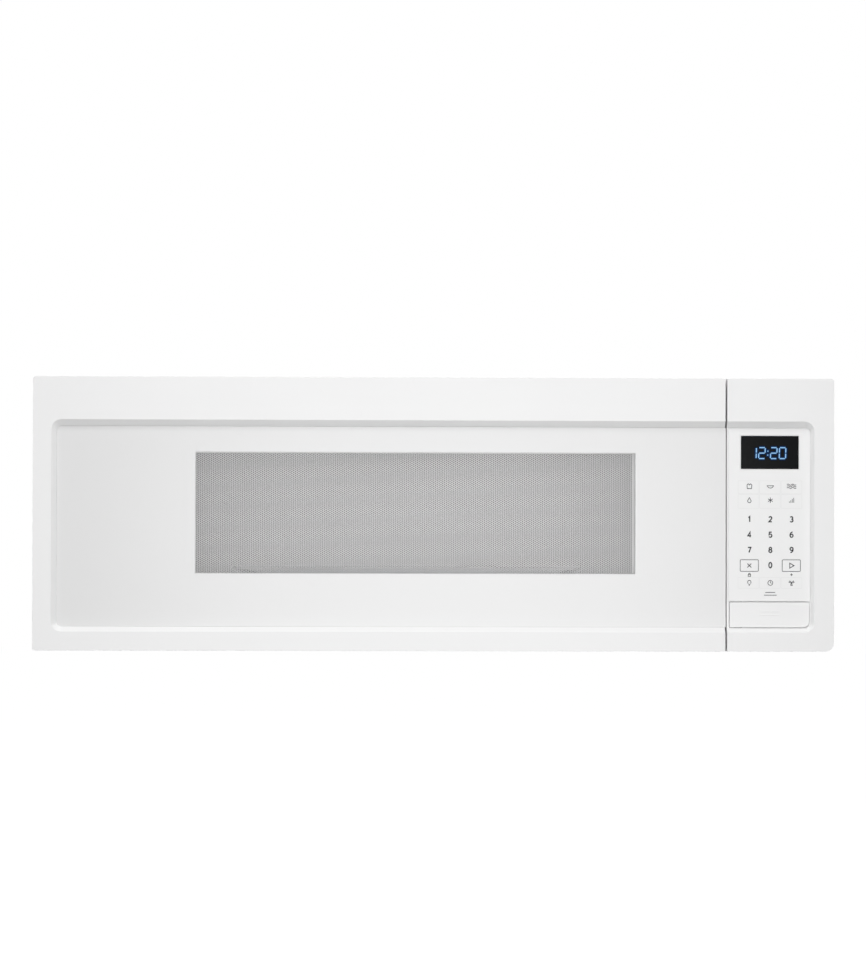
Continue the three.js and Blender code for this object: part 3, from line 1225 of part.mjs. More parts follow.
// Moulded bracket behind the oven flange that holds the catches and the switches.
function interlockBracket() {
  const z = [LEVER_Z - BRACKET_DOWN, HOOKS_Z[1] + HOOK_TALL + BRACKET_UP];
  const face = block([OVEN_SIDE + BRACKET_OFF, PANEL_LEFT + BRACKET_PAST], CATCH_Y, z);
  const side = block(SIDE_X, [CATCH_Y[1] - PAST, SWITCH_Y[1]], z);
  const at = [LEVER_Y, LEVER_Z];
  const bossX = [SIDE_X[1] - PAST, SIDE_X[1] + BRACKET_BOSS];
  const boss = rod("x", LEVER_SHAFT_R + CATCH_SHEET, ...bossX, at);
  const shelves = HOOKS_Z.map((low) => block(
    [SWITCH_X[0], SIDE_X[1] - PAST], SWITCH_Y, above(low + HOOK_TALL + SWITCH_UP, BRACKET_SHELF)));
  const bore = rod("x", LEVER_SHAFT_R + CLEAR, SIDE_X[0] - PAST, bossX[1] + PAST, at);
  return cut(
    join(face, side, boss, ...shelves), bore, ...hookSlots(wider(CATCH_Y, PAST), HOOK_SWING));
}

// Snap switch with its plunger just behind a hook's tip.
function snapSwitch() {
  const body = block(SWITCH_X, SWITCH_Y, [0, SWITCH_TALL]);
  const plunger = rod(
    "y", PLUNGER_R, HOOK_TIP + CLEAR, SWITCH_Y[0] + PAST, [HOOK_AT, SWITCH_TALL - HOOK_TALL], 8);
  const tabs = [1, 3].map((fifth) => block(
    about(HOOK_AT, SWITCH_TAB_WIDE), [SWITCH_Y[1] - PAST, SWITCH_Y[1] + SWITCH_TAB],
    above((fifth * SWITCH_TALL) / 5, SWITCH_TAB_SHEET)));
  return join(body, plunger, ...tabs);
}

add("interlock_bracket", interlockBracket(), greyPlastic);
["secondary_switch", "primary_switch"].forEach((name, i) => {
  const top = HOOKS_Z[i] + HOOK_TALL + SWITCH_UP - CLEAR;
  add(name, snapSwitch(), blackPlastic).position.z = top - SWITCH_TALL;
});

// ---------------------------------------------------------------- power parts
const ANTENNA_Y = FEED_Y + ANTENNA_PAST;
const CORE_Y = (FILTER_Y[1] + FILTER_LAP + SHROUD_Y) / 2;
const GUIDE_X = above(OVEN_SIDE + CLEAR, WAVEGUIDE_DEEP);
const TUBE_X = GUIDE_X[1] + CLEAR; // the magnetron's mounting plate

function waveguide() {
  const y = above(FEED_Y - FEED_LONG / 2 - GUIDE_LIP, WAVEGUIDE_LONG);
  const z = about(FEED_Z, WAVEGUIDE_TALL);
  const flange = block(above(GUIDE_X[0], SHEET), wider(y, GUIDE_LIP), wider(z, GUIDE_LIP));
  const duct = block(GUIDE_X, y, z);
  return cut(
    join(flange, duct),
    block([GUIDE_X[0] - PAST, GUIDE_X[1] - SHEET], wider(y, -SHEET), wider(z, -SHEET)),
    rod("x", ANTENNA_R + 2 * SHEET, GUIDE_X[0], GUIDE_X[1] + PAST, [ANTENNA_Y, FEED_Z]));
}

function waveguideCover() {
  const x = above(OVEN_RIGHT - CLEAR - COVER_SHEET, COVER_SHEET);
  const y = about(FEED_Y, FEED_LONG + 2 * COVER_LAP);
  const z = about(FEED_Z, FEED_TALL + 2 * COVER_LAP);
  return prism(roundRect(y, z, COVER_R), "x", ...x);
}

// Magnetron: yoke, magnets and anode with cooling fins, antenna, filter box and plug.
function magnetron() {
  const y = about(ANTENNA_Y, MAGNETRON_WIDE);
  const z = about(FEED_Z, MAGNETRON_TALL);
  const x = above(TUBE_X, MAGNETRON_LONG);
  const at = [ANTENNA_Y, FEED_Z];
  const yoke = cut(
    block(x, y, z), block(wider(x, -YOKE), wider(y, PAST), wider(z, -YOKE)));
  const anode = rod("x", ANODE_R, ...wider(x, -PAST), at, 8);
  const magnets = [x[0] + PAST, x[1] - PAST - MAGNET_LONG].map(
    (from) => rod("x", MAGNET_R, from, from + MAGNET_LONG, at, 16));
  const pitch = (MAGNETRON_LONG - 2 * FIN_MARGIN) / (MAGNETRON_FINS - 1);
  const fins = Array.from({ length: MAGNETRON_FINS }, (_, i) => block(
    about(x[0] + FIN_MARGIN + i * pitch, FIN_SHEET), wider(y, -3 * YOKE), wider(z, PAST - YOKE)));
  const box = block(
    above(x[1] - PAST, FILTER_BOX), wider(y, -MAGNETRON_WIDE / 6), wider(z, -MAGNETRON_TALL / 5));
  const end = x[1] - PAST + FILTER_BOX;
  const plug = block(
    [end - PAST, end + MAGNETRON_PLUG], about(ANTENNA_Y, 2.4 * MAGNETRON_PLUG),
    about(FEED_Z, 1.4 * MAGNETRON_PLUG));
  const antenna = rod("x", ANTENNA_R, GUIDE_X[0] + ANTENNA_IN, x[0] + PAST, at, 12);
  return join(yoke, anode, ...magnets, ...fins, box, plug, antenna);
}

const CORE_Z = above(SHEET + CLEAR + CORE_FOOT / 2, CORE_TALL);
const CORE_LEG = (CORE_WIDE * 7) / 24; // middle of a winding window from the core's middle

// Laminated core with two winding windows, welded on a mounting plate.
function transformerCore() {
  const x = about(FAN_X, CORE_WIDE);
  const y = about(CORE_Y, CORE_STACK);
  const openZ = wider(CORE_Z, -CORE_WINDOW);
  const windows = [-1, 1].map((side) => block(
    about(FAN_X + side * CORE_LEG, CORE_WINDOW), wider(y, PAST), openZ));
  const stack = cut(block(x, y, CORE_Z), ...windows);
  const foot = block(wider(x, CORE_FOOT_PAST), y, above(SHEET + CLEAR, CORE_FOOT));
  return join(stack, foot);
}

// One winding round the core's middle leg; its lower face is at the given height.
function winding(z) {
  const half = CORE_LEG - CORE_WINDOW / 2 + CLEAR;
  const inner = roundRect(about(FAN_X, 2 * half), about(CORE_Y, CORE_STACK + 2 * CLEAR));
  const wall = CORE_WINDOW - 2 * CLEAR;
  const outer = roundRect(
    about(FAN_X, 2 * (half + wall - PAST)), about(CORE_Y, CORE_STACK + 2 * wall), WINDING_R);
  return prism(outer, "z", ...z, [inner.reverse()]);
}

function capacitorOutline(by) {
  const z = above(SHEET + CLEAR + CLAMP + CLAMP_FOOT / 2, CAN_TALL);
  return roundRect(wider(about(FAN_X, CAN_WIDE), by), wider(z, by), CAN_TALL / 2 - PAST + by, 3);
}

// Oval can in its clamp, with two terminals.
function capacitor() {
  const y = above(SHROUD_Y + CAN_BEHIND, CAN_LONG);
  const clampY = above(y[0] + CLAMP_AT, CLAMP_WIDE);
  const can = prism(capacitorOutline(0), "y", ...y);
  const clamp = prism(capacitorOutline(CLAMP), "y", ...clampY);
  const foot = block(
    about(FAN_X, CAN_WIDE + 2 * CLAMP_EAR), clampY, above(SHEET + CLEAR, CLAMP_FOOT));
  const tabs = [-1, 1].map((side) => block(
    about(FAN_X + (side * CAN_TAB_PITCH) / 2, CAN_TAB_WIDE), [y[0] - CAN_TAB, y[0] + PAST],
    about(CAN_TALL / 2 + SHEET + CLAMP_FOOT, TAB_SHEET)));
  return join(can, clamp, foot, ...tabs);
}

// Mains filter board on four posts against the rear panel.
function noiseFilterBoard() {
  const x = above(OVEN_SIDE + NOISE_BOARD_IN, NOISE_BOARD_WIDE);
  const z = above(OVEN_CEILING - NOISE_BOARD_DOWN, NOISE_BOARD_TALL);
  const y = [REAR_FRONT - NOISE_BOARD_OFF - BOARD, REAR_FRONT - NOISE_BOARD_OFF];
  const posts = wider(x, -BOSS_IN).flatMap((u) => wider(z, -BOSS_IN).map(
    (v) => rod("y", BOSS_R, y[1] - BOARD / 2, REAR_FRONT - CLEAR, [u, v], 6)));
  const front = y[0] + BOARD / 2;
  const choke = tube(
    "y", CHOKE_COIL_R, CHOKE_COIL_BORE, front - CHOKE_COIL_LONG, front,
    [x[0] + CHOKE_COIL_IN, z[0] + CHOKE_COIL_IN], 12);
  const boxX = above((x[0] + x[1]) / 2, MAINS_BOX_WIDE);
  const box = block(
    boxX, [front - MAINS_BOX_DEEP, front], above(z[0] + MAINS_BOX_TALL, MAINS_BOX_TALL));
  const fuse = rod("x", BOSS_R, ...boxX, [front - BOSS_R, z[1] - MAINS_BOX_TALL], 8);
  return join(block(x, y, z), ...posts, choke, box, fuse);
}

add("waveguide", waveguide(), zincSteel);
add("waveguide_cover", waveguideCover(), mica);
add("magnetron", magnetron(), aluminium);
add("transformer_core", transformerCore(), laminations);
const coilLow = CORE_Z[0] + CORE_WINDOW + CLEAR;
const coilTall = (CORE_TALL - 2 * CORE_WINDOW - 3 * CLEAR) / 2;
add("primary_winding", winding(above(coilLow, coilTall)), copper);
add("secondary_winding", winding(above(coilLow + coilTall + CLEAR, coilTall)), copper);
add("high_voltage_capacitor", capacitor(), aluminium);
add("noise_filter_board", noiseFilterBoard(), boardGreen);

// ---------------------------------------------------------------- cooling fan
const FAN_AT = [FAN_X, FAN_Z];
const FAN_Y = above(SHROUD_Y + FAN_BEHIND, FAN_DEEP);
const FAN_MOTOR_Y = above(FAN_Y[1] + FAN_MOTOR_GAP, FAN_MOTOR_DEEP);
const FAN_MOTOR_Z = about(FAN_Z, FAN_MOTOR_TALL);
const SHROUD_X = [OVEN_SIDE + CLEAR, INNER_X[1] - SHEET - CLEAR];

// Shroud across the right compartment, with a ring round the fan and the motor's arms.
function fanShroud() {
  const y = above(SHROUD_Y, SHROUD);
  const bore = FAN_R + FAN_TIP;
  const ringY = [y[0], FAN_Y[1] + 2 * PAST];
  const plate = block(SHROUD_X, y, [SHEET + CLEAR, OVEN_TOP + SHROUD_OVER]);
  const ring = rod("y", bore + SHROUD, ...ringY, FAN_AT, 24);
  const arms = [-1, 1].map((side) => block(
    about(FAN_X + side * SHROUD_ARM_X, SHROUD_ARM_WIDE), [y[0], FAN_MOTOR_Y[1]],
    about(FAN_Z + side * (bore - SHROUD_ARM), SHROUD_ARM)));
  const gripY = [FAN_MOTOR_Y[0] + SHROUD_ARM, FAN_MOTOR_Y[1]];
  const grips = [-1, 1].map((side) => {
    const z = [FAN_MOTOR_TALL / 2 + CLEAR, FAN_MOTOR_TALL / 2 + SHROUD_GRIP];
    const faces = z.map((up) => FAN_Z + side * up).sort((a, b) => a - b);
    return block(about(FAN_X + side * SHROUD_GRIP_X, SHROUD_GRIP_WIDE), gripY, faces);
  });
  const air = rod("y", bore, ...wider(ringY, PAST), FAN_AT, 24);
  return cut(join(plate, ring, ...arms, ...grips), air);
}

// Fan with twisted blades on its shaft.
function fanBlade() {
  const hub = rod("y", FAN_HUB_R, ...FAN_Y, FAN_AT, 15);
  const shaftEnd = FAN_MOTOR_Y[0] + FAN_MOTOR_DEEP / 2;
  const shaft = rod("y", FAN_SHAFT_R, FAN_Y[1] - PAST, shaftEnd, FAN_AT, 12);
  const root = FAN_HUB_R - PAST;
  const blades = Array.from({ length: FAN_BLADES }, (_, i) => {
    const blade = new THREE.BoxGeometry(FAN_R - root, FAN_BLADE, FAN_CHORD, 3, 1, 1);
    blade.translate((FAN_R + root) / 2, 0, 0);
    twist(blade, root);
    const tilt = (i * 2 * Math.PI) / FAN_BLADES;
    blade.rotateY(tilt).translate(FAN_X, (FAN_Y[0] + FAN_Y[1]) / 2, FAN_Z);
    return solid(blade);
  });
  const sweep = rod("y", FAN_R, ...FAN_Y, FAN_AT, 30);
  return join(hub, shaft, ...blades.map((blade) => blade.intersect(sweep)));
}

// Turns each section of a blade about the blade's length, from root to tip.
function twist(blade, from) {
  const points = blade.attributes.position;
  for (let i = 0; i < points.count; i += 1) {
    const x = points.getX(i);
    const a = THREE.MathUtils.mapLinear(x, from, FAN_R, FAN_ROOT_TWIST, FAN_TIP_TWIST);
    const [y, z] = [points.getY(i), points.getZ(i)];
    points.setY(i, y * Math.cos(a) - z * Math.sin(a));
    points.setZ(i, y * Math.sin(a) + z * Math.cos(a));
  }
}

// Shaded-pole motor: laminated frame with its coil.
function fanMotor() {
  const y = FAN_MOTOR_Y;
  const frame = block(about(FAN_X, FAN_MOTOR_WIDE), y, FAN_MOTOR_Z);
  const coilBlock = block(
    about(FAN_X, FAN_COIL_WIDE), [y[0] + FAN_COIL_PAST, y[1] + FAN_COIL_PAST],
    above(FAN_Z + FAN_COIL_PAST, FAN_COIL_TALL));
  const rotor = rod(
    "y", FAN_ROTOR_R, y[0] + PAST, y[1] + FAN_COIL_PAST / 2, [FAN_X, FAN_Z - FAN_COIL_PAST], 16);
  const bore = rod(
    "y", FAN_SHAFT_R + CLEAR, y[0] - PAST, y[0] + FAN_MOTOR_DEEP / 2 + 2 * PAST, FAN_AT, 12);
  const from = FAN_MOTOR_WIDE / 2 + PAST;
  const notches = [-1, 1].map((side) => block(
    about(FAN_X + side * (from - FAN_MOTOR_SLOT / 2), FAN_MOTOR_SLOT), wider(y, PAST),
    above(FAN_Z + 2 * PAST, FAN_MOTOR_SLOT_TALL)));
  return cut(join(frame, coilBlock, rotor), bore, ...notches);
}

add("fan_shroud", fanShroud(), zincSteel);
add("cooling_fan_blade", fanBlade(), blackPlastic);
add("cooling_fan_motor", fanMotor(), laminations);

// ---------------------------------------------------------------- ventilation
const DUCT_Z = [OVEN_TOP + CLEAR, INNER_TOP];
const BLOWER_Z = (DUCT_Z[0] + DUCT_Z[1]) / 2;
const BLOWER_Y = BACK - BLOWER_FROM_BACK;
const BLOWER_AT = [BLOWER_Y, BLOWER_Z];
const SCROLL_OUTLET_Y = BLOWER_Y + SCROLL_REACH;
const SCROLL_X = wider(above(WHEEL_FROM, WHEEL_LONG), SCROLL_SIDE);
const SCROLL_HALF = (DUCT_Z[1] - DUCT_Z[0]) / 2 - SCROLL_WALL;

// Spiral wall that opens towards the exhaust, grown by a wall thickness.
function scrollOutline(by) {
  const start = -0.45;
  const sweep = 1.5 * Math.PI + start;
  const spiral = Array.from({ length: SCROLL_STEPS + 1 }, (_, i) => {
    const t = i / SCROLL_STEPS;
    const a = start - t * sweep;
    const r = THREE.MathUtils.lerp(SCROLL_TIGHT, SCROLL_HALF, t) + by;
    return new THREE.Vector2(BLOWER_Y + r * Math.cos(a), BLOWER_Z + r * Math.sin(a));
  });
  const top = new THREE.Vector2(SCROLL_OUTLET_Y, BLOWER_Z + SCROLL_HALF + by);
  const low = new THREE.Vector2(SCROLL_OUTLET_Y, BLOWER_Z - SCROLL_LOW - by);
  return [...spiral, top, low];
}

// Scroll housing on the right (1) or left (-1) of the motor, open at both ends' eyes.
function blowerHousing(side) {
  const x = side > 0 ? SCROLL_X : [-SCROLL_X[1], -SCROLL_X[0]];
  const inX = wider(x, -SCROLL_WALL);
  const mouth = block(
    inX, [SCROLL_OUTLET_Y - 4 * SCROLL_WALL, SCROLL_OUTLET_Y + SCROLL_WALL],
    [BLOWER_Z - SCROLL_LOW, BLOWER_Z + SCROLL_HALF]);
  return cut(
    prism(scrollOutline(SCROLL_WALL), "x", ...x),
    prism(scrollOutline(0), "x", ...inX),
    mouth,
    rod("x", WHEEL_INNER_R + PAST, ...wider(x, PAST), BLOWER_AT, 20));
}

// Squirrel-cage wheel with forward-curved blades between two rings and a middle disc.
function blowerWheel(side) {
  const x = side > 0 ? above(WHEEL_FROM, WHEEL_LONG) : above(-WHEEL_FROM - WHEEL_LONG, WHEEL_LONG);
  const rings = [x[0], x[1] - WHEEL_RING].map((from) => tube(
    "x", WHEEL_R, WHEEL_INNER_R, from, from + WHEEL_RING, BLOWER_AT, 18));
  const middle = (x[0] + x[1]) / 2;
  const bore = BLOWER_SHAFT_R + CLEAR;
  const root = WHEEL_INNER_R + BLADE_INSET;
  const tip = WHEEL_R - BLADE_INSET;
  const disc = tube(
    "x", root + BLADE_INSET, bore, ...about(middle, WHEEL_DISC), BLOWER_AT, 18);
  const boss = tube("x", WHEEL_BOSS_R, bore, ...about(middle, WHEEL_BOSS_LONG), BLOWER_AT, 12);
  // radius, lead of the camber line in radians, share of the thickness
  const camber = [[root, 0, 1], [(root + tip) / 2, 0.13, 1.2], [tip, 0.08, 0.8]];
  const blades = Array.from({ length: WHEEL_BLADES }, (_, i) => {
    const a = (i / WHEEL_BLADES) * 2 * Math.PI;
    const face = (flip) => camber.map(([r, lead, share]) => {
      const angle = a + lead + (flip * share * BLADE_HALF) / r;
      return new THREE.Vector2(BLOWER_Y + r * Math.cos(angle), BLOWER_Z + r * Math.sin(angle));
    });
    return prism([...face(-1), ...face(1).reverse()], "x", ...wider(x, -PAST));
  });
  return join(disc, boss, ...rings, ...blades);
}

function blowerShaft() {
  const reach = WHEEL_FROM + WHEEL_LONG / 2 + SHAFT_PAST;
  return rod("x", BLOWER_SHAFT_R, -reach, reach, BLOWER_AT);
}

function blowerMotor() {
  const x = about(0, BLOWER_MOTOR_LONG);
  const can = rod("x", BLOWER_MOTOR_R, ...x, BLOWER_AT, 20);
  const caps = rod("x", BLOWER_CAP_R, ...wider(x, BLOWER_CAP), BLOWER_AT, 14);
  const foot = block(
    about(0, BLOWER_FOOT_LONG), about(BLOWER_Y, BLOWER_FOOT_WIDE),
    [DUCT_Z[0], BLOWER_Z - BLOWER_MOTOR_R / 2]);
  const bore = rod(
    "x", BLOWER_SHAFT_R + CLEAR, ...wider(x, BLOWER_CAP + PAST), BLOWER_AT);
  return cut(join(can, caps, foot), bore);
}

// Sheet plenum between the two scrolls' mouths and the exhaust opening above.
function exhaustDuct() {
  const x = about(0, 2 * (SCROLL_X[1] + 2 * SHEET));
  const y = [SCROLL_OUTLET_Y + CLEAR, REAR_FRONT - CLEAR];
  const mouths = [-1, 1].map((side) => block(
    about((side * (SCROLL_X[0] + SCROLL_X[1])) / 2, WHEEL_LONG + SCROLL_SIDE),
    wider([y[0], y[0] + SHEET], PAST),
    [BLOWER_Z - SCROLL_LOW + PAST, DUCT_Z[1] - 3 * SHEET]));
  return cut(
    block(x, y, DUCT_Z),
    block(wider(x, -SHEET), wider(y, -SHEET), wider(DUCT_Z, -SHEET)),
    block(EXHAUST_X, EXHAUST_Y, wider([DUCT_Z[1] - SHEET, DUCT_Z[1]], PAST)),
    ...mouths);
}

// Louvred grille that drops through the case top from below.
function ventGrille() {
  const flange = [INNER_TOP - VENT_FLANGE, INNER_TOP];
  const base = block(wider(VENT_X, VENT_LAP), wider(VENT_Y, VENT_LAP), flange);
  const raised = block(wider(VENT_X, -CLEAR), wider(VENT_Y, -CLEAR), [flange[0], HEIGHT]);
  const pitch = (VENT_X[1] - VENT_X[0] - 2 * VENT_RIM) / VENT_SLOTS;
  const slots = Array.from({ length: VENT_SLOTS }, (_, i) => block(
    about(VENT_X[0] + VENT_RIM + (i + 0.5) * pitch, pitch - VENT_BAR),
    wider(VENT_Y, -VENT_RIM), wider([flange[0], HEIGHT], PAST)));
  return cut(join(base, raised), ...slots);
}

// Pleated sheet between two X ends, folded up and down along its length.
function pleats([x0, x1], y, [z0, z1], count, thick) {
  const fold = (lift) => Array.from({ length: 2 * count + 1 }, (_, i) => new THREE.Vector2(
    x0 + ((x1 - x0) * i) / (2 * count), (i % 2 ? z1 - thick : z0) + lift));
  return prism([...fold(0), ...fold(thick).reverse()], "y", ...y);
}

function framedFilter(x, y, z, rim) {
  const frame = cut(block(x, y, z), block(wider(x, -rim), wider(y, -rim), wider(z, PAST)));
  const inside = rim - PAST / 2;
  const sheet = pleats(
    wider(x, -inside), wider(y, -inside), wider(z, -PLEAT_CLEAR), PLEATS, PLEAT_SHEET);
  return join(frame, sheet);
}

function charcoalFilter() {
  const top = INNER_TOP - VENT_FLANGE - CLEAR;
  return framedFilter(VENT_X, VENT_Y, [top - CHARCOAL_TALL, top], CHARCOAL_RIM);
}

function greaseFilter(side) {
  const x = wider(about(side * (FILTER_FROM + FILTER_WIDE / 2), FILTER_WIDE), FILTER_LAP);
  const y = wider(FILTER_Y, FILTER_LAP);
  const z = above(SHEET + CLEAR, FILTER_TALL);
  const tab = block(
    about((x[0] + x[1]) / 2, FILTER_TAB), above(FILTER_Y[0] + PAST, FILTER_TAB_DEEP),
    [z[0] - FILTER_TAB_DOWN, z[0] + PAST]);
  return join(framedFilter(x, y, z, FILTER_RIM), tab);
}

const LENS_Z = above(SHEET + CLEAR, LENS);
const LAMP_Z = above(LENS_Z[1] + CLEAR, LAMP_TALL);

function cooktopLens(side) {
  const x = about(side * LAMP_AT, LAMP_WIDE);
  const lap = FILTER_LAP + LENS_CLEAR;
  return join(
    prism(roundRect(x, LAMP_Y, LENS_R), "z", ...LENS_Z),
    prism(
      roundRect(wider(x, -lap), wider(LAMP_Y, -lap), LENS_R - PAST), "z", LENS_UNDER,
      LENS_Z[0] + PAST));
}

// Lamp housing open towards its lens, with the diode board inside.
function cooktopLamp(side) {
  const x = about(side * LAMP_AT, LAMP_WIDE);
  const shell = cut(
    block(x, LAMP_Y, LAMP_Z),
    block(
      wider(x, -LAMP_WALL), wider(LAMP_Y, -LAMP_WALL), [LAMP_Z[0] - PAST, LAMP_Z[1] - LAMP_WALL]));
  return join(
    shell,
    block(
      wider(x, -LAMP_BOARD_IN), wider(LAMP_Y, -LAMP_BOARD_IN),
      [LAMP_Z[1] - 2 * LAMP_WALL - PAST, LAMP_Z[1] - PAST]),
    block(
      about(side * LAMP_AT, 3 * LAMP_PLUG), about((LAMP_Y[0] + LAMP_Y[1]) / 2, 2 * LAMP_PLUG),
      [LAMP_Z[1] - LAMP_WALL / 2, LAMP_Z[1] + LAMP_PLUG]));
}

function cordBushing() {
  const low = INNER_TOP - BUSHING_COLLAR;
  const neck = BUSHING_R - BUSHING_LIP - CLEAR;
  return turned([
    [CORD_HOLE_R, low],
    [BUSHING_R, low],
    [BUSHING_R, INNER_TOP],
    [neck, INNER_TOP],
    [neck, HEIGHT],
    [CORD_HOLE_R, HEIGHT],
    [CORD_HOLE_R, low],
  ], [BUSHING_X, BUSHING_Y], 16);
}

add("blower_motor", blowerMotor(), zincSteel);
add("blower_shaft", blowerShaft(), brightSteel);
[[1, "right"], [-1, "left"]].forEach(([side, hand]) => {
  add("blower_housing_" + hand, blowerHousing(side), zincSteel);
  add("blower_wheel_" + hand, blowerWheel(side), blackPlastic);
  add("grease_filter_" + hand, greaseFilter(side), aluminium);
  add("cooktop_lens_" + hand, cooktopLens(side), clearGlass);
  add("cooktop_lamp_" + hand, cooktopLamp(side), greyPlastic);
});
add("exhaust_duct", exhaustDuct(), zincSteel);
add("vent_grille", ventGrille(), whitePaint);
add("charcoal_filter", charcoalFilter(), charcoal);
add("cord_bushing", cordBushing(), blackPlastic);

export default group;
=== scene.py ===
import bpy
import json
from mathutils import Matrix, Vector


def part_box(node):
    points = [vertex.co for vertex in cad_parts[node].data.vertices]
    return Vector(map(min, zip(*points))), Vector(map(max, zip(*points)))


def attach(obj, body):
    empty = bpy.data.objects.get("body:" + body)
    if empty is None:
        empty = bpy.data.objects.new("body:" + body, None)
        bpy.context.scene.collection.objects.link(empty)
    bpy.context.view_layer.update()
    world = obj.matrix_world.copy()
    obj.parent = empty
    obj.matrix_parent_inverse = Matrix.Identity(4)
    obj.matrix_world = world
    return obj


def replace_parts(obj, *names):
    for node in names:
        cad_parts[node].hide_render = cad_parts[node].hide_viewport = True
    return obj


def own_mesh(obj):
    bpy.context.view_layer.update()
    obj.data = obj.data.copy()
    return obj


bl_info = {
    "name": "Over-the-range oven",
    "version": (1, 0, 0),
    "blender": (4, 5, 0),
    "location": "3D View > Sidebar > Oven",
    "description": "Dresses the packed over-the-range oven and sets it in a studio",
    "category": "Object",
}

import json
import math

import bmesh
import bpy
from bpy.props import FloatProperty, FloatVectorProperty, IntProperty, PointerProperty
from bpy.types import Operator, Panel, PropertyGroup
from mathutils import Matrix, Vector

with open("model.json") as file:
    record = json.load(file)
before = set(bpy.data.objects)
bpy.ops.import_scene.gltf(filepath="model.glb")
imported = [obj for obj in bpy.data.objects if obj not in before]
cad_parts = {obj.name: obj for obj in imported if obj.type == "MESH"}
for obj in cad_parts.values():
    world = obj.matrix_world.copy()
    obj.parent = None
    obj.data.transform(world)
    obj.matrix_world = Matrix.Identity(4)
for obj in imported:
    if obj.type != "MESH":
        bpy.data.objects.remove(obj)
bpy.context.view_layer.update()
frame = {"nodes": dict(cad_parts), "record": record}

MM = 0.001
SHARP = math.radians(40)  # edges sharper than this are rounded
CREASE = math.radians(52)  # and those that stay sharper are shaded as creases

# Places that the frame gives
GLASS_LOW, GLASS_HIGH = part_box("door_glass")
SCREEN_LOW, SCREEN_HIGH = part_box("door_screen")
DISPLAY_LOW, DISPLAY_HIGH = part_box("display_window")
BUTTON_LOW, BUTTON_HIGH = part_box("release_button")
DOOR_LOW, DOOR_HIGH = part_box("door_frame")
PANEL_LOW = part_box("control_panel")[0]
FILM_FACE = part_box("keypad_membrane")[0].y
BODIES = frame["record"]["behaviour"]["bodies"]
BODY_OF = {node: body for body, nodes in BODIES.items() for node in nodes}
SLOT_OF = {part["node"]: part["material_slot"] for part in frame["record"]["subparts"]}
FINISHES = {}


def linear(code):
    """An sRGB hex colour as linear RGBA."""
    parts = [int(code[i:i + 2], 16) / 255 for i in (0, 2, 4)]
    return (*(p / 12.92 if p <= 0.04045 else ((p + 0.055) / 1.055) ** 2.4 for p in parts), 1.0)


def per_mm(size):
    """The scale of a pattern whose features are that many millimetres apart."""
    return 1 / (size * MM)


# ---------------------------------------------------------------- settings
def colour(name, description, code):
    """A colour that a user may change."""
    return FloatVectorProperty(
        name=name, description=description, subtype="COLOR", size=4, min=0, max=1,
        default=linear(code))


def length(name, description, default, low, high):
    """A size that a user may change, with its default and limits in millimetres."""
    return FloatProperty(
        name=name, description=description, unit="LENGTH", default=default * MM, min=low * MM,
        max=high * MM)


class OvenColours(PropertyGroup):
    """The colours that a user may change."""

    moulding: colour("White moulding", "Door frame, control panel and button", "F4F4F4")
    paint: colour("White paint", "Case, base pan and screen", "F0F0F0")
    back_paint: colour("Glass back paint", "Paint seen through the door glass", "E0E0E0")
    film: colour("Keypad film", "Printed ground of the keypad", "F3F3F3")
    ink: colour("Keypad ink", "Figures and key outlines of the keypad", "202124")
    lit: colour("Display light", "Lit strokes of the clock", "9CCCF4")


class OvenSizes(PropertyGroup):
    """The sizes that a user may change."""

    front_edge: length("Front edge", "Radius of the moulded front edges", 1.5, 0.2, 2)
    seam_edge: length("Seam edge", "Radius of the two edges beside the seam", 0.4, 0.1, 1)
    recess_edge: length(
        "Recess edge", "Radius where a bevel meets the glass or the film", 0.12, 0.05, 0.4)
    part_edge: length("Part edge", "Radius of all other edges", 0.3, 0.1, 0.6)
    hole_pitch: length(
        "Hole pitch", "Distance between two holes of the door screen", 1.996, 1.5, 5)
    hole_wide: length("Hole width", "Width of a hole of the door screen", 1.67, 0.5, 1.8)
    hole_columns: IntProperty(
        name="Hole columns", description="Columns of holes in one third of the screen",
        default=80, min=4, max=90)
    hole_rows: IntProperty(
        name="Hole rows", description="Holes in one column of the screen",
        default=57, min=4, max=60)
    screen_sheet: length("Screen sheet", "Thickness of the door screen", 0.5, 0.2, 1)
    screw_wide: length("Screw head", "Diameter of a screw head", 7.5, 4, 10)
    digit_tall: length("Keypad figure", "Height of a figure on the keypad", 5, 3, 8)
    clock_tall: length("Clock figure", "Height of a figure on the display", 10.4, 6, 16)


# ---------------------------------------------------------------- materials
def add(tree, kind, links=None, **settings):
    """Adds a node, sets its properties, and fills its inputs with values, sockets or nodes.

    A node stands for its first output.
    """
    node = tree.nodes.new(kind)
    for name, value in settings.items():
        setattr(node, name, value)
    for name, source in (links or {}).items():
        if isinstance(source, bpy.types.Node):
            source = source.outputs[0]
        if isinstance(source, bpy.types.NodeSocket):
            tree.links.new(source, node.inputs[name])
        else:
            node.inputs[name].default_value = source
    return node


def bare_material(name):
    """A new material and its empty tree."""
    material = bpy.data.materials.new(name)
    material.use_nodes = True
    material.node_tree.nodes.clear()
    return material, material.node_tree


NOISE = {"From Min": 0.3, "From Max": 0.7}  # a noise hardly ever leaves this range
POLISH_SWING = 0.05  # how far the grain moves the roughness


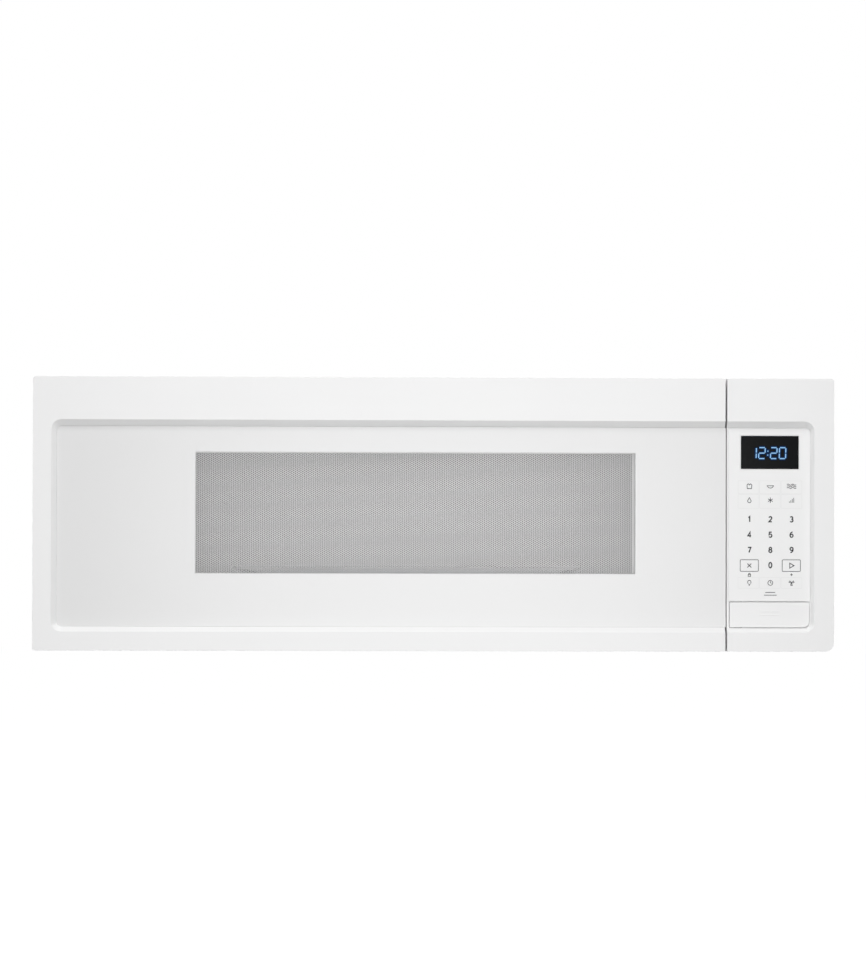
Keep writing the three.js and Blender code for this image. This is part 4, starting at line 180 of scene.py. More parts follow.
def finish(name, colour, rough, grain, depth, cloud=0.02, cloud_mm=90, stretch=(1, 1, 1),
           **sockets):
    """A material with a grain of that size and depth in millimetres, and clouds in its colour."""
    material, tree = bare_material(name)
    place = add(tree, "ShaderNodeTexCoord").outputs["Object"]
    drawn = add(tree, "ShaderNodeMapping", {"Vector": place, "Scale": stretch})
    clouds = add(tree, "ShaderNodeTexNoise", {
        "Vector": drawn, "Scale": per_mm(cloud_mm), "Detail": 3.0})
    shade = add(tree, "ShaderNodeMapRange", {"Value": clouds, **NOISE})
    tone = add(tree, "ShaderNodeMix", {
        "Factor": shade, "A": (*(c * (1 - cloud) for c in colour[:3]), 1.0),
        "B": tuple(colour)}, data_type="RGBA")
    fine = add(tree, "ShaderNodeTexNoise", {
        "Vector": drawn, "Scale": per_mm(grain), "Detail": 2.0})
    polish = add(tree, "ShaderNodeMapRange", {
        "Value": fine, **NOISE,
        "To Min": max(rough - POLISH_SWING, 0.02), "To Max": rough + POLISH_SWING})
    relief = add(tree, "ShaderNodeBump", {
        "Height": fine, "Strength": 1.0, "Distance": depth * MM})
    shader = add(tree, "ShaderNodeBsdfPrincipled", {
        "Base Color": tone.outputs["Result"], "Roughness": polish, "Normal": relief, **sockets})
    add(tree, "ShaderNodeOutputMaterial", {"Surface": shader})
    return material


GLASS_ROUGH = 0.3  # etched against glare
SHEEN_IOR = 1.25  # below glass's own, for a fainter sheen


def back_painted_glass(colours):
    # Float glass, etched and painted white on its back: a soft sheen over a flat white.
    return finish(
        "back_painted_glass", colours.back_paint, 0.5, 2.2, 0.0006, 0.008, 160,
        **{"Specular IOR Level": 0.0, "Coat Weight": 1.0, "Coat Roughness": GLASS_ROUGH,
           "Coat IOR": 1.52})


def clear_float_glass():
    # The unpainted window of the door glass: the screen shows through it with a faint sheen.
    material, tree = bare_material("clear_float_glass")
    edge = add(tree, "ShaderNodeFresnel", {"IOR": SHEEN_IOR})
    seen = add(tree, "ShaderNodeBsdfTransparent", {"Color": linear("FAFAFA")})
    gloss = add(tree, "ShaderNodeBsdfGlossy", {"Roughness": GLASS_ROUGH, "Color": linear("FFFFFF")})
    both = add(tree, "ShaderNodeMixShader", {0: edge, 1: seen, 2: gloss})
    add(tree, "ShaderNodeOutputMaterial", {"Surface": both})
    return material


def galvanised_steel():
    # Hot-dip galvanised sheet: spangles a few millimetres wide, each of its own grey and gloss.
    material = finish("galvanised_steel", linear("B4B7BA"), 0.4, 1.2, 0.003, 0.06, 40, Metallic=1.0)
    spangle, ripple, bend = 9, 4, 2 * MM
    tree = material.node_tree
    shader = tree.nodes["Principled BSDF"]
    place = add(tree, "ShaderNodeTexCoord").outputs["Object"]
    bent = add(tree, "ShaderNodeTexNoise", {
        "Vector": place, "Scale": per_mm(ripple), "Detail": 1.0})
    warp = add(tree, "ShaderNodeVectorMath", {
        0: bent.outputs["Color"], 1: (bend, bend, bend), 2: place}, operation="MULTIPLY_ADD")
    crystal = add(tree, "ShaderNodeTexVoronoi", {"Vector": warp, "Scale": per_mm(spangle)})
    tilt = add(tree, "ShaderNodeSeparateColor", {"Color": crystal.outputs["Color"]}).outputs
    grey = add(tree, "ShaderNodeMapRange", {"Value": tilt[0], "To Min": 0.84, "To Max": 1.0})
    plain = shader.inputs["Base Color"].links[0].from_socket
    tone = add(tree, "ShaderNodeMix", {
        "Factor": 1.0, "A": plain, "B": grey}, data_type="RGBA", blend_type="MULTIPLY")
    gloss = add(tree, "ShaderNodeMapRange", {"Value": tilt[1], "To Min": 0.3, "To Max": 0.5})
    tree.links.new(tone.outputs["Result"], shader.inputs["Base Color"])
    tree.links.new(gloss.outputs[0], shader.inputs["Roughness"])
    return material


def glowing(name, colour, strength):
    # A light-emitting segment behind its filter, or the painted halo of its light in the filter: an
    # even glow that needs no lamp.
    material, tree = bare_material(name)
    glow = add(tree, "ShaderNodeEmission", {"Color": tuple(colour), "Strength": strength})
    add(tree, "ShaderNodeOutputMaterial", {"Surface": glow})
    return material


def mix_finishes(colours):
    """Mixes a finish for each of the record's slots, and the inks and lights of the front.

    Numbers are the roughness, the size and depth of the grain, and the strength and size of
    the clouds.
    """
    metal = {"Metallic": 1.0}
    along_z, along_x, sheets = (1, 1, 0.2), (0.05, 1, 1), (0.02, 1, 0.02)
    FINISHES.update({
        # Injection-moulded ABS, spark-grained: a soft sheen without sharp reflections.
        "white_moulding": finish(
            "moulded_abs", colours.moulding, 0.45, 0.7, 0.004, 0.012, IOR=1.53),
        # Powder-coated steel sheet: slight orange peel that breaks up the highlights.
        "white_paint": finish("powder_coated_steel", colours.paint, 0.32, 1.8, 0.02, 0.015),
        "white_glass": back_painted_glass(colours),
        # Polyester film printed on its back: satin, with hardly any grain.
        "membrane": finish("printed_polyester_film", colours.film, 0.42, 0.5, 0.002, 0.006),
        # Cast acrylic, smoked and coated against glare: a deep black with hardly a reflection.
        "display": finish(
            "smoked_acrylic", linear("0B0C0E"), 0.2, 3, 0.0004, 0.1,
            **{"Specular IOR Level": 0.03}),
        # Sprayed and fired enamel of the oven: pale grey with fine dark specks.
        "oven_enamel": finish("fired_enamel", linear("B9BBBA"), 0.3, 0.9, 0.006, 0.12, 1.2),
        # Glass-filled nylon: black, dull where the fibres reach the surface.
        "black_plastic": finish("filled_nylon", linear("1B1C1E"), 0.5, 0.5, 0.006, 0.15, 4),
        # Moulded polypropylene: pale, waxy and a little cloudy.
        "grey_plastic": finish(
            "moulded_polypropylene", linear("C9C9C6"), 0.5, 0.6, 0.005, 0.03),
        "zinc_steel": galvanised_steel(),
        # Drawn and polished steel: bright, with faint lines along its height.
        "bright_steel": finish(
            "drawn_spring_steel", linear("C9CBCD"), 0.24, 0.3, 0.002, 0.05, 5, along_z, **metal),
        # Rolled aluminium: fine lines along the rolling direction.
        "aluminium": finish(
            "rolled_aluminium", linear("C6C8CA"), 0.36, 0.4, 0.003, 0.06, 10, along_x, **metal),
        # Enamelled copper wire, wound close: a red-brown gloss with a lumpy surface.
        "copper": finish(
            "enamelled_copper_wire", linear("B06A3A"), 0.3, 0.9, 0.02, 0.2, 3, **metal),
        "clear_glass": clear_float_glass(),
        # Mica flakes pressed with resin: tan and mottled, with half a sheen.
        "mica": finish("pressed_mica", linear("C9B48A"), 0.5, 0.8, 0.008, 0.2, 2.5),
        # Glass-epoxy board under green solder mask: a smooth sheen, uneven over the copper.
        "circuit_board": finish("epoxy_board", linear("2F6B45"), 0.35, 0.6, 0.01, 0.2, 6),
        # Loose carbon granules: dark grey, rough and without a highlight.
        "charcoal": finish("carbon_granules", linear("3A3B3C"), 0.85, 1.5, 0.3, 0.4, 1.5),
        # Stacked and varnished core sheets: dull lines, drawn coarser than the sheets to show.
        "laminations": finish(
            "stacked_laminations", linear("5A5C60"), 0.5, 0.5, 0.05, 0.3, 1, sheets, **metal),
        # Screen-printed ink: matt, and only a few hundredths thick.
        "ink": finish("screen_printed_ink", colours.ink, 0.6, 0.4, 0.002, 0.05, 3),
        "grey_ink": finish("grey_printed_ink", linear("3A3B3E"), 0.6, 0.4, 0.002, 0.05, 3),
        "pale_ink": finish("pale_printed_ink", linear("E9E9E9"), 0.6, 0.4, 0.002, 0.03, 3),
        "lit": glowing("lit_segment", colours.lit, 1.0),
        # The halo is painted light: the segments' glow spreading in the smoked filter, drawn as a
        # faint glowing band.
        "halo": glowing("glow_in_the_filter", linear("0E3A6E"), 0.75),
    })


def coat(piece, slot, *materials):
    """Gives a piece its finishes: those named, or else the finish of its slot in the record."""
    held = piece.data.materials
    for index, name in enumerate(materials or (slot,)):
        if index < len(held):
            held[index] = FINISHES[name]
        else:
            held.append(FINISHES[name])
    return piece


# ---------------------------------------------------------------- mesh tools
def linked(name, data):
    """A new object in the scene, at the origin."""
    piece = bpy.data.objects.new(name, data)
    bpy.context.scene.collection.objects.link(piece)
    return piece


def piece_from(name, bm):
    """A new object from a bmesh, shaded smooth with its creases kept."""
    bmesh.ops.recalc_face_normals(bm, faces=bm.faces)
    for face in bm.faces:
        face.smooth = True
    for edge in bm.edges:
        edge.smooth = edge.calc_face_angle(0) < CREASE
    mesh = bpy.data.meshes.new(name)
    bm.to_mesh(mesh)
    bm.free()
    return linked(name, mesh)


def baked(name, source):
    """The plain mesh of an evaluated object, as a new object that takes its place."""
    depsgraph = bpy.context.evaluated_depsgraph_get()
    mesh = bpy.data.meshes.new_from_object(source.evaluated_get(depsgraph))
    mesh.name = name
    bpy.data.objects.remove(source)
    return linked(name, mesh)


def merged(node):
    """A welded copy of a CAD node's mesh, with its flat faces joined."""
    weld, flat = 2e-6, math.radians(0.6)
    bm = bmesh.new()
    bm.from_mesh(frame["nodes"][node].data)
    bmesh.ops.remove_doubles(bm, verts=bm.verts, dist=weld)
    bmesh.ops.dissolve_limit(bm, angle_limit=flat, verts=bm.verts, edges=bm.edges)
    return bm


def stand_in(node, ending, bm, *materials):
    """Puts a remade part in the place of its CAD node, with flats kept flat beside its edges."""
    piece = piece_from(node + ending, bm)
    piece.modifiers.new("weighted", "WEIGHTED_NORMAL").keep_sharp = True
    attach(piece, BODY_OF[node])
    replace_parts(coat(piece, SLOT_OF[node], *materials), node)


def soften(bm, radius, segments=2, chosen=lambda edge: True):
    """Rounds the sharp edges that are long enough for the radius."""
    sharp = [
        edge for edge in bm.edges
        if len(edge.link_faces) == 2 and edge.calc_face_angle(0) > SHARP
        and edge.calc_length() > 2 * radius and chosen(edge)]
    bmesh.ops.bevel(
        bm, geom=sharp, offset=radius, segments=segments, profile=0.5, affect="EDGES",
        clamp_overlap=True)


def rounded(low, high, radius, steps=6):
    """Points of a rounded rectangle, anticlockwise; radius may be a list for the four corners."""
    radii = radius if isinstance(radius, (list, tuple)) else [radius] * 4
    middles = [
        (low[0] + radii[0], low[1] + radii[0]), (high[0] - radii[1], low[1] + radii[1]),
        (high[0] - radii[2], high[1] - radii[2]), (low[0] + radii[3], high[1] - radii[3])]
    points = []
    for corner, ((u, v), r) in enumerate(zip(middles, radii)):
        for step in range(steps + 1):
            angle = (corner + 2 + step / steps) * math.pi / 2
            points.append((u + r * math.cos(angle), v + r * math.sin(angle)))
    return points


def inset(low, high, by, radius, steps=6):
    """Points of a rounded rectangle that lies that far inside two corners."""
    return rounded([c + by for c in low], [c - by for c in high], radius, steps)


def loft(bm, loops, materials=None, ring=False, upright=True):
    """A closed body through loops of (outline, depth): capped at both ends, or a ring.

    Outlines lie in XZ with their depth in Y, or in XY with their depth in Z.
    """
    rings = [
        [bm.verts.new((u, depth, v) if upright else (u, v, depth)) for u, v in outline]
        for outline, depth in loops]
    count = len(rings[0])
    marks = materials or [0] * (len(rings) + 1)
    pairs = list(zip(rings, rings[1:] + rings[:1]))[:None if ring else -1]
    for k, (near, far) in enumerate(pairs):
        for i in range(count):
            j = (i + 1) % count
            face = bm.faces.new((near[i], near[j], far[j], far[i]))
            face.material_index = marks[k + 1]
    if not ring:
        bm.faces.new(rings[0]).material_index = marks[0]
        bm.faces.new(rings[-1]).material_index = marks[-1]


def bar_faces(bm, near, far):
    """The four sides of a bar between two rings of (low, high) pairs of corners."""
    for a, b in ((0, 1), (1, 3), (3, 2), (2, 0)):
        bm.faces.new((near[a], near[b], far[b], far[a]))


def ribbon(bm, points, width, depth, thick):
    """A flat stroke through points in XZ, standing out towards the front.

    It is a closed loop when its last point is its first.
    """
    points = [Vector(point) for point in points]
    closed = points[0] == points[-1]
    if closed:
        points.pop()
    count = len(points)
    sharpest = 0.4  # keeps the mitre of a sharp corner short
    rings = []
    for i, here in enumerate(points):
        first = here - points[i - 1] if closed or i else points[1] - here
        second = points[(i + 1) % count] - here if closed or i < count - 1 else first
        first, second = first.normalized(), second.normalized()
        mitre = (first + second).normalized()
        reach = Vector((-mitre.y, mitre.x)) * (width / 2 / max(mitre.dot(first), sharpest))
        rings.append([
            bm.verts.new((side.x, y, side.y))
            for side in (here + reach, here - reach) for y in (depth - thick, depth)])
    for near, far in list(zip(rings, rings[1:] + rings[:1]))[:None if closed else -1]:
        bar_faces(bm, near, far)
    if not closed:
        for ring in (rings[0], rings[-1]):
            bm.faces.new((ring[0], ring[1], ring[3], ring[2]))


def arc(middle, reach, start, end, steps=12):
    """Points of an elliptical arc between two angles in degrees."""
    angles = [math.radians(start + (end - start) * k / steps) for k in range(steps + 1)]
    return [(middle[0] + reach[0] * math.cos(a), middle[1] + reach[1] * math.sin(a)) for a in angles]


def oval(middle, reach):
    """Points of a whole ellipse, one for each 15 degrees, with the first again at the end."""
    points = arc(middle, reach, 0, 345, 23)
    return points + points[:1]


# ---------------------------------------------------------------- geometry nodes
def new_tree(name, inputs):
    """A node group with a mesh in and a mesh out, and one named input for each size."""
    tree = bpy.data.node_groups.new(name, "GeometryNodeTree")
    tree.interface.new_socket("Geometry", in_out="INPUT", socket_type="NodeSocketGeometry")
    tree.interface.new_socket("Geometry", in_out="OUTPUT", socket_type="NodeSocketGeometry")
    for label, kind in inputs.items():
        tree.interface.new_socket(label, in_out="INPUT", socket_type="NodeSocket" + kind)
    return tree, add(tree, "NodeGroupInput").outputs


def close_tree(tree, instances, material):
    """Realizes what a tree repeats, welds it and gives it its material."""
    real = add(tree, "GeometryNodeRealizeInstances", {"Geometry": instances})
    weld = add(tree, "GeometryNodeMergeByDistance", {"Geometry": real, "Distance": 1e-6})
    painted = add(tree, "GeometryNodeSetMaterial", {"Geometry": weld, "Material": material})
    add(tree, "NodeGroupOutput", {"Geometry": painted})
    return tree


def lattice_tree():
    """Repeats a mesh in columns, every other column part of a row further."""
    tree, given = new_tree("staggered_lattice", {
        "Row Step": "Vector", "Column Step": "Vector", "Columns": "Int", "Rows": "Int",
        "Stagger": "Float", "Corner": "Vector", "Material": "Material"})
    index = add(tree, "GeometryNodeInputIndex")
    share = add(tree, "ShaderNodeMath", {0: index, 1: given["Rows"]}, operation="DIVIDE")
    column = add(tree, "ShaderNodeMath", {0: share}, operation="FLOOR")
    row = add(tree, "ShaderNodeMath", {0: index, 1: given["Rows"]}, operation="MODULO")
    odd = add(tree, "ShaderNodeMath", {0: column, 1: 2.0}, operation="MODULO")
    rise = add(
        tree, "ShaderNodeMath", {0: odd, 1: given["Stagger"], 2: row}, operation="MULTIPLY_ADD")
    across = add(
        tree, "ShaderNodeVectorMath", {0: given["Column Step"], "Scale": column}, operation="SCALE")
    along = add(
        tree, "ShaderNodeVectorMath", {0: given["Row Step"], "Scale": rise}, operation="SCALE")
    both = add(tree, "ShaderNodeVectorMath", {0: across, 1: along}, operation="ADD")
    place = add(tree, "ShaderNodeVectorMath", {0: both, 1: given["Corner"]}, operation="ADD")
    total = add(tree, "ShaderNodeMath", {0: given["Columns"], 1: given["Rows"]}, operation="MULTIPLY")
    points = add(tree, "GeometryNodePoints", {"Count": total, "Position": place})
    copies = add(tree, "GeometryNodeInstanceOnPoints", {
        "Points": points, "Instance": given["Geometry"]})
    return close_tree(tree, copies, given["Material"])


def grow(name, tree, values, base):
    """Runs a tree on a base object and returns the plain mesh that it makes."""
    modifier = base.modifiers.new("grow", "NODES")
    modifier.node_group = tree
    for item in tree.interface.items_tree:
        if item.in_out == "INPUT" and item.name in values:
            modifier[item.identifier] = values[item.name]
    return baked(name, base)


# ---------------------------------------------------------------- operators
class OVEN_OT_finishes(Operator):
    """Mix the finishes and give each CAD part its own"""

    bl_idname = "oven.finishes"
    bl_label = "Finishes"

    def execute(self, context):
        mix_finishes(context.scene.oven_colours)
        for node, part in frame["nodes"].items():
            coat(part, SLOT_OF[node])
        return {"FINISHED"}


class OVEN_OT_front_mouldings(Operator):
    """Round the edges of the door frame, the control panel housing and the button"""

    bl_idname = "oven.front_mouldings"
    bl_label = "Front mouldings"

    def execute(self, context):
        sizes = context.scene.oven_sizes
        for node in ("door_frame", "control_panel"):
            bm = merged(node)
            for name, radius, segments in (
                    ("front", sizes.front_edge, 4), ("seam", sizes.seam_edge, 2),
                    ("recess", sizes.recess_edge, 1), ("rear", sizes.part_edge, 2)):
                soften(bm, radius, segments, lambda edge: edge_zone(edge) == name)
            stand_in(node, "_moulding", bm)

        bm = merged("release_button")
        soften(bm, RIB_EDGE, 1, on_button_rib)
        soften(bm, RIM_EDGE, 3, on_button_rim)
        stand_in("release_button", "_cap", bm)
        return {"FINISHED"}


SEAM_X = (DOOR_HIGH.x + PANEL_LOW.x) / 2
BESIDE_SEAM = 2 * MM
FACE_DEEP = 0.5 * MM  # edges no further back than this lie on the front face
RECESS_DEEP = 6 * MM  # and those behind this lie behind the recess


def edge_zone(edge):
    """Where an edge of the front mouldings lies."""
    depths = [v.co.y - DOOR_LOW.y for v in edge.verts]
    if max(depths) > FACE_DEEP:
        return "rear" if min(depths) > RECESS_DEEP else "recess"
    return "seam" if all(abs(v.co.x - SEAM_X) < BESIDE_SEAM for v in edge.verts) else "front"


RIB_EDGE, RIM_EDGE = 0.1 * MM, 0.6 * MM  # radii
BUTTON_FACE = BUTTON_LOW.y + 0.31 * MM  # the grip ribs stand out of it
RIB_CREST = BUTTON_FACE - 0.2 * MM  # only the ribs reach further forward
FACE_FLAT = 0.05 * MM  # and only the face lies this near to its own depth
RIM_SIDE, RIM_HIGH = 8 * MM, 2 * MM  # the rim lies this near the ends or the long edges


def on_button_rib(edge):
    """Whether an edge is on the crest of a grip rib."""
    return min(v.co.y for v in edge.verts) < RIB_CREST


def on_button_rim(edge):
    """Whether an edge bounds the button's face."""
    def near_outline(place):
        inside = (BUTTON_LOW.x + RIM_SIDE <= place.x <= BUTTON_HIGH.x - RIM_SIDE
                  and BUTTON_LOW.z + RIM_HIGH <= place.z <= BUTTON_HIGH.z - RIM_HIGH)
        return not inside
    return all(
        abs(v.co.y - BUTTON_FACE) < FACE_FLAT and near_outline(v.co) for v in edge.verts)


# Nodes that have an operator of their own
REMADE = {
    "door_glass", "door_screen", "door_frame", "control_panel", "release_button", "button_spring",
    "latch_spring", "grease_filter_left", "grease_filter_right"}


class OVEN_OT_parts(Operator):
    """Round the edges of all other rigid parts"""

    bl_idname = "oven.parts"
    bl_label = "Rounded parts"

    def execute(self, context):
        radius = context.scene.oven_sizes.part_edge
        for node in sorted(set(frame["nodes"]) - REMADE):
            bm = merged(node)
            soften(bm, radius)
            stand_in(node, "_part", bm)
        return {"FINISHED"}


GLASS_FIT = 0.24 * MM  # the bedding between glass and frame closes the CAD's clearance
GLASS_CORNERS = [4.9 * MM, 0.3 * MM, 0.3 * MM, 4.9 * MM]  # round at the hinge, square at the seam
GLASS_CHAMFER = 0.15 * MM
WINDOW_LOW = (DOOR_LOW.x + 152.9 * MM, DOOR_LOW.z + 73 * MM)
WINDOW_HIGH = (DOOR_HIGH.x - 85.2 * MM, DOOR_HIGH.z - 70.8 * MM)
WINDOW_CORNER = 1.2 * MM


class OVEN_OT_door_glass(Operator):
    """Make the door glass with its painted surround and clear window"""

    bl_idname = "oven.door_glass"
    bl_label = "Door glass"

    def execute(self, context):
        def outline(by):
            return inset(
                (GLASS_LOW.x, GLASS_LOW.z), (GLASS_HIGH.x, GLASS_HIGH.z), by - GLASS_FIT,
                [max(r - by, 0.1 * MM) for r in GLASS_CORNERS])

        window = rounded(WINDOW_LOW, WINDOW_HIGH, WINDOW_CORNER)
        bm = bmesh.new()
        loft(bm, [
            (window, GLASS_HIGH.y), (outline(GLASS_CHAMFER), GLASS_HIGH.y),
            (outline(0), GLASS_HIGH.y - GLASS_CHAMFER), (outline(0), GLASS_LOW.y + GLASS_CHAMFER),
            (outline(GLASS_CHAMFER), GLASS_LOW.y), (window, GLASS_LOW.y)],
            [1, 0, 0, 0, 0, 0, 1])
        stand_in("door_glass", "_panel", bm, "white_glass", "clear_glass")
        return {"FINISHED"}


SCREEN_LAP = 0.7 * MM  # the border's lap over the outer cells
SCREEN_FOLD = 1.2 * MM  # thickness of the folded border
SCREEN_BEND = 0.6 * MM  # slope at the fold


class OVEN_OT_door_screen(Operator):
    """Punch the door screen and set it in its folded border"""

    bl_idname = "oven.door_screen"
    bl_label = "Door screen"

    def execute(self, context):
        sizes = context.scene.oven_sizes
        pitch, rows, columns = sizes.hole_pitch, sizes.hole_rows, sizes.hole_columns
        spread = pitch * math.sqrt(3) / 2
        reach = pitch / math.sqrt(3)
        front, back = SCREEN_LOW.y, SCREEN_LOW.y + sizes.screen_sheet
        first = (WINDOW_LOW[0] + reach, WINDOW_LOW[1] + pitch / 2)
        tree = lattice_tree()
        for third, name in enumerate(("left", "middle", "right")):
            cell = hole_cell(reach, sizes.hole_wide / 2, front, back)
            piece = grow("door_screen_" + name, tree, {
                "Row Step": (0.0, 0.0, pitch), "Column Step": (spread, 0.0, 0.0), "Stagger": 0.5,
                "Columns": columns, "Rows": rows,
                "Corner": (first[0] + third * columns * spread, 0.0, first[1]),
                "Material": FINISHES["white_paint"]}, cell)
            close_sides(piece, (front + back) / 2)
            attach(piece, "door")
            coat(piece, "white_paint")

        last = (first[0] + (3 * columns - 1) * spread + reach, first[1] + rows * pitch)
        field = rounded(WINDOW_LOW, last, 0.1 * MM, 2)
        lap = inset(WINDOW_LOW, last, SCREEN_LAP, 0.1 * MM, 2)
        low, high = (SCREEN_LOW.x, SCREEN_LOW.z), (SCREEN_HIGH.x, SCREEN_HIGH.z)
        outer = rounded(low, high, 2 * MM, 2)
        inner = inset(low, high, SCREEN_FOLD, 1 * MM, 2)
        near = inset(low, high, SCREEN_BEND, 2 * MM, 2)
        bm = bmesh.new()
        loft(bm, [
            (lap, back), (field, back), (field, front), (near, front),
            (outer, front + SCREEN_BEND), (outer, SCREEN_HIGH.y), (inner, SCREEN_HIGH.y),
            (inner, front + SCREEN_FOLD), (lap, front + SCREEN_FOLD)], ring=True)
        stand_in("door_screen", "_border", bm)
        return {"FINISHED"}


def hole_cell(reach, hole, front, back):
    """One six-sided cell of the screen round its hole, open at its six sides."""
    bm = bmesh.new()
    rings = [
        [bm.verts.new((r * math.cos(k * math.pi / 3), y, r * math.sin(k * math.pi / 3)))
         for k in range(6)]
        for r, y in ((reach, front), (hole, front), (hole, back), (reach, back))]
    for near, far in zip(rings, rings[1:]):
        for k in range(6):
            bm.faces.new((near[k], far[k], far[(k + 1) % 6], near[(k + 1) % 6]))
    return piece_from("hole", bm)


def close_sides(piece, middle):
    """Joins the front and the back of a lattice along its open border."""
    bm = bmesh.new()
    bm.from_mesh(piece.data)

    def key(vert):
        return round(vert.co.x / MM, 3), round(vert.co.z / MM, 3)

    behind = {key(v): v for v in bm.verts if v.co.y > middle}
    for edge in [e for e in bm.edges if e.is_boundary and e.verts[0].co.y < middle]:
        a, b = edge.verts
        bm.faces.new((a, b, behind[key(b)], behind[key(a)]))
    bmesh.ops.recalc_face_normals(bm, faces=bm.faces)
    bm.to_mesh(piece.data)
    bm.free()


RIM = 8 * MM  # width of a grease filter's frame
TAB_PROUD = 0.9 * MM  # the pull tab reaches that far below the frame
MESH_WIDE, MESH_DEEP = 4.5 * MM, 6.0 * MM  # steps of the expanded metal
MESH_LAYERS = 3
MESH_FOOT, LAYER_STEP = 2.2 * MM, 1.6 * MM  # height of the first layer and of each step
LAYER_SHIFT = 0.37  # each layer lies that share of a step further


class OVEN_OT_grease_filters(Operator):
    """Weave the expanded-metal grease filters in their frames"""

    bl_idname = "oven.grease_filters"
    bl_label = "Grease filters"

    def execute(self, context):
        tree = lattice_tree()
        for node in ("grease_filter_left", "grease_filter_right"):
            low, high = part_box(node)
            base = low.z + TAB_PROUD
            stand_in(node, "_frame", filter_frame(low, high, base))
            columns = int((high.x - low.x - 2 * RIM - 2 * MESH_WIDE) / MESH_WIDE)
            rows = int((high.y - low.y - 2 * RIM - MESH_DEEP) / MESH_DEEP)
            for layer in range(MESH_LAYERS):
                shift = layer * MESH_WIDE * LAYER_SHIFT
                corner = (
                    low.x + RIM + MESH_WIDE / 2 + shift, low.y + RIM + MESH_DEEP / 4 + shift,
                    base + MESH_FOOT + layer * LAYER_STEP)
                piece = grow("%s_mesh_%d" % (node, layer + 1), tree, {
                    "Row Step": (0.0, MESH_DEEP, 0.0), "Column Step": (MESH_WIDE, 0.0, 0.0),
                    "Stagger": 0.5, "Columns": columns + 1, "Rows": rows + 1, "Corner": corner,
                    "Material": FINISHES["aluminium"]}, strand_cell(MESH_WIDE, MESH_DEEP / 2))
                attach(piece, BODY_OF[node])
                coat(piece, "aluminium")
        return {"FINISHED"}


def filter_frame(low, high, base):
    """The folded frame of a grease filter with its pull tab."""
    edge, fold, corner = 0.8 * MM, 1.2 * MM, 3 * MM
    outer = rounded(low[:2], high[:2], corner, 3)
    near = inset(low[:2], high[:2], edge, corner, 3)
    inner = inset(low[:2], high[:2], RIM, 2 * MM, 3)
    bm = bmesh.new()
    loft(bm, [
        (inner, base + fold), (near, base), (outer, base + edge),
        (outer, high.z - edge), (near, high.z), (inner, high.z - fold)],
        ring=True, upright=False)
    middle, half = (low.x + high.x) / 2, 13 * MM
    front, rear = low.y + 7 * MM, low.y + 16 * MM
    tab = [
        (middle - half, low.z), (middle + half, low.z),
        (middle + half, base + 0.3 * MM), (middle - half, base + 0.3 * MM)]
    loft(bm, [(tab, front), (tab, rear)])
    return bm


def strand_cell(half_wide, half_deep):
    """One diamond of expanded metal, with its strands tilted as the slitting leaves them."""
    bm = bmesh.new()
    thick, width, tilt = 0.35 * MM, 0.7 * MM, 0.3 * MM
    corners = [(half_wide, 0), (0, half_deep), (-half_wide, 0), (0, -half_deep)]
    rings = []
    for k, (u, v) in enumerate(corners):
        lift = tilt if k % 2 else -tilt
        shares = [1 - inwards / math.hypot(u, v) for inwards in (0, width)]
        rings.append([
            bm.verts.new((u * share, v * share, z + lift))
            for share in shares for z in (0, thick)])
    for near, far in zip(rings, rings[1:] + rings[:1]):
        bar_faces(bm, near, far)
    return piece_from("strand", bm)


# Faces that the screws lie on, and their places in millimetres
CASE_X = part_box("outer_case")[1].x / MM
BACK_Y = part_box("rear_panel")[1].y / MM
LENS_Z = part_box("cooktop_lens_left")[0].z / MM
SIDE_SCREWS = [(221, z) for z in (30, 130, 230)] + [(-172, z) for z in (30, 230)]
BACK_SCREWS = (
    [(x, z) for z in (8, 252) for x in (-366, -245, -110, 110, 245, 366)]
    + [(x, z) for x in (-371, 371) for z in (90, 172)])
# Face, turn of the head in degrees, and places of its screws
SCREWS = (
    ("back", (-90, 0, 0), [(x, BACK_Y, z) for x, z in BACK_SCREWS]),
    ("left", (0, -90, 0), [(-CASE_X, y, z) for y, z in SIDE_SCREWS]),
    ("right", (0, 90, 0), [(CASE_X, y, z) for y, z in SIDE_SCREWS]),
    ("base", (180, 0, 0), [(x, y, 0) for y in (-150, 222) for x in (-360, -240, 0, 240, 360)]
     + [(x, 40, 0) for x in (-366, 366)]),
    ("lens", (180, 0, 0), [(x, y, LENS_Z) for x in (-180, 180) for y in (-163, -137)]))


class OVEN_OT_screws(Operator):
    """Put the screws in the back, the sides and the base"""

    bl_idname = "oven.screws"
    bl_label = "Screws"

    def execute(self, context):
        tree = screw_tree()
        head = screw_head(context.scene.oven_sizes.screw_wide / 2)
        for name, turn, places in SCREWS:
            mesh = bpy.data.meshes.new("places")
            mesh.from_pydata([Vector(place) * MM for place in places], [], [])
            piece = grow("screws_" + name, tree, {
                "Head": head, "Turn": [math.radians(a) for a in turn],
                "Material": FINISHES["bright_steel"]}, linked("places", mesh))
            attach(piece, "root")
            coat(piece, "bright_steel")
        bpy.data.objects.remove(head)
        return {"FINISHED"}


def screw_tree():
    """Puts a screw head on each point, turned to its face and by chance about its axis."""
    tree, given = new_tree("screws", {"Head": "Object", "Turn": "Rotation", "Material": "Material"})
    head = add(tree, "GeometryNodeObjectInfo", {"Object": given["Head"]})
    chance = add(tree, "FunctionNodeRandomValue", {"Min": 0.0, "Max": 1.5, "Seed": 4})
    spin = add(tree, "ShaderNodeCombineXYZ", {"Z": chance.outputs["Value"]})
    turned = add(tree, "FunctionNodeRotateRotation", {
        "Rotation": given["Turn"], "Rotate By": spin}, rotation_space="LOCAL")
    copies = add(tree, "GeometryNodeInstanceOnPoints", {
        "Points": given["Geometry"], "Instance": head.outputs["Geometry"], "Rotation": turned})
    return close_tree(tree, copies, given["Material"])


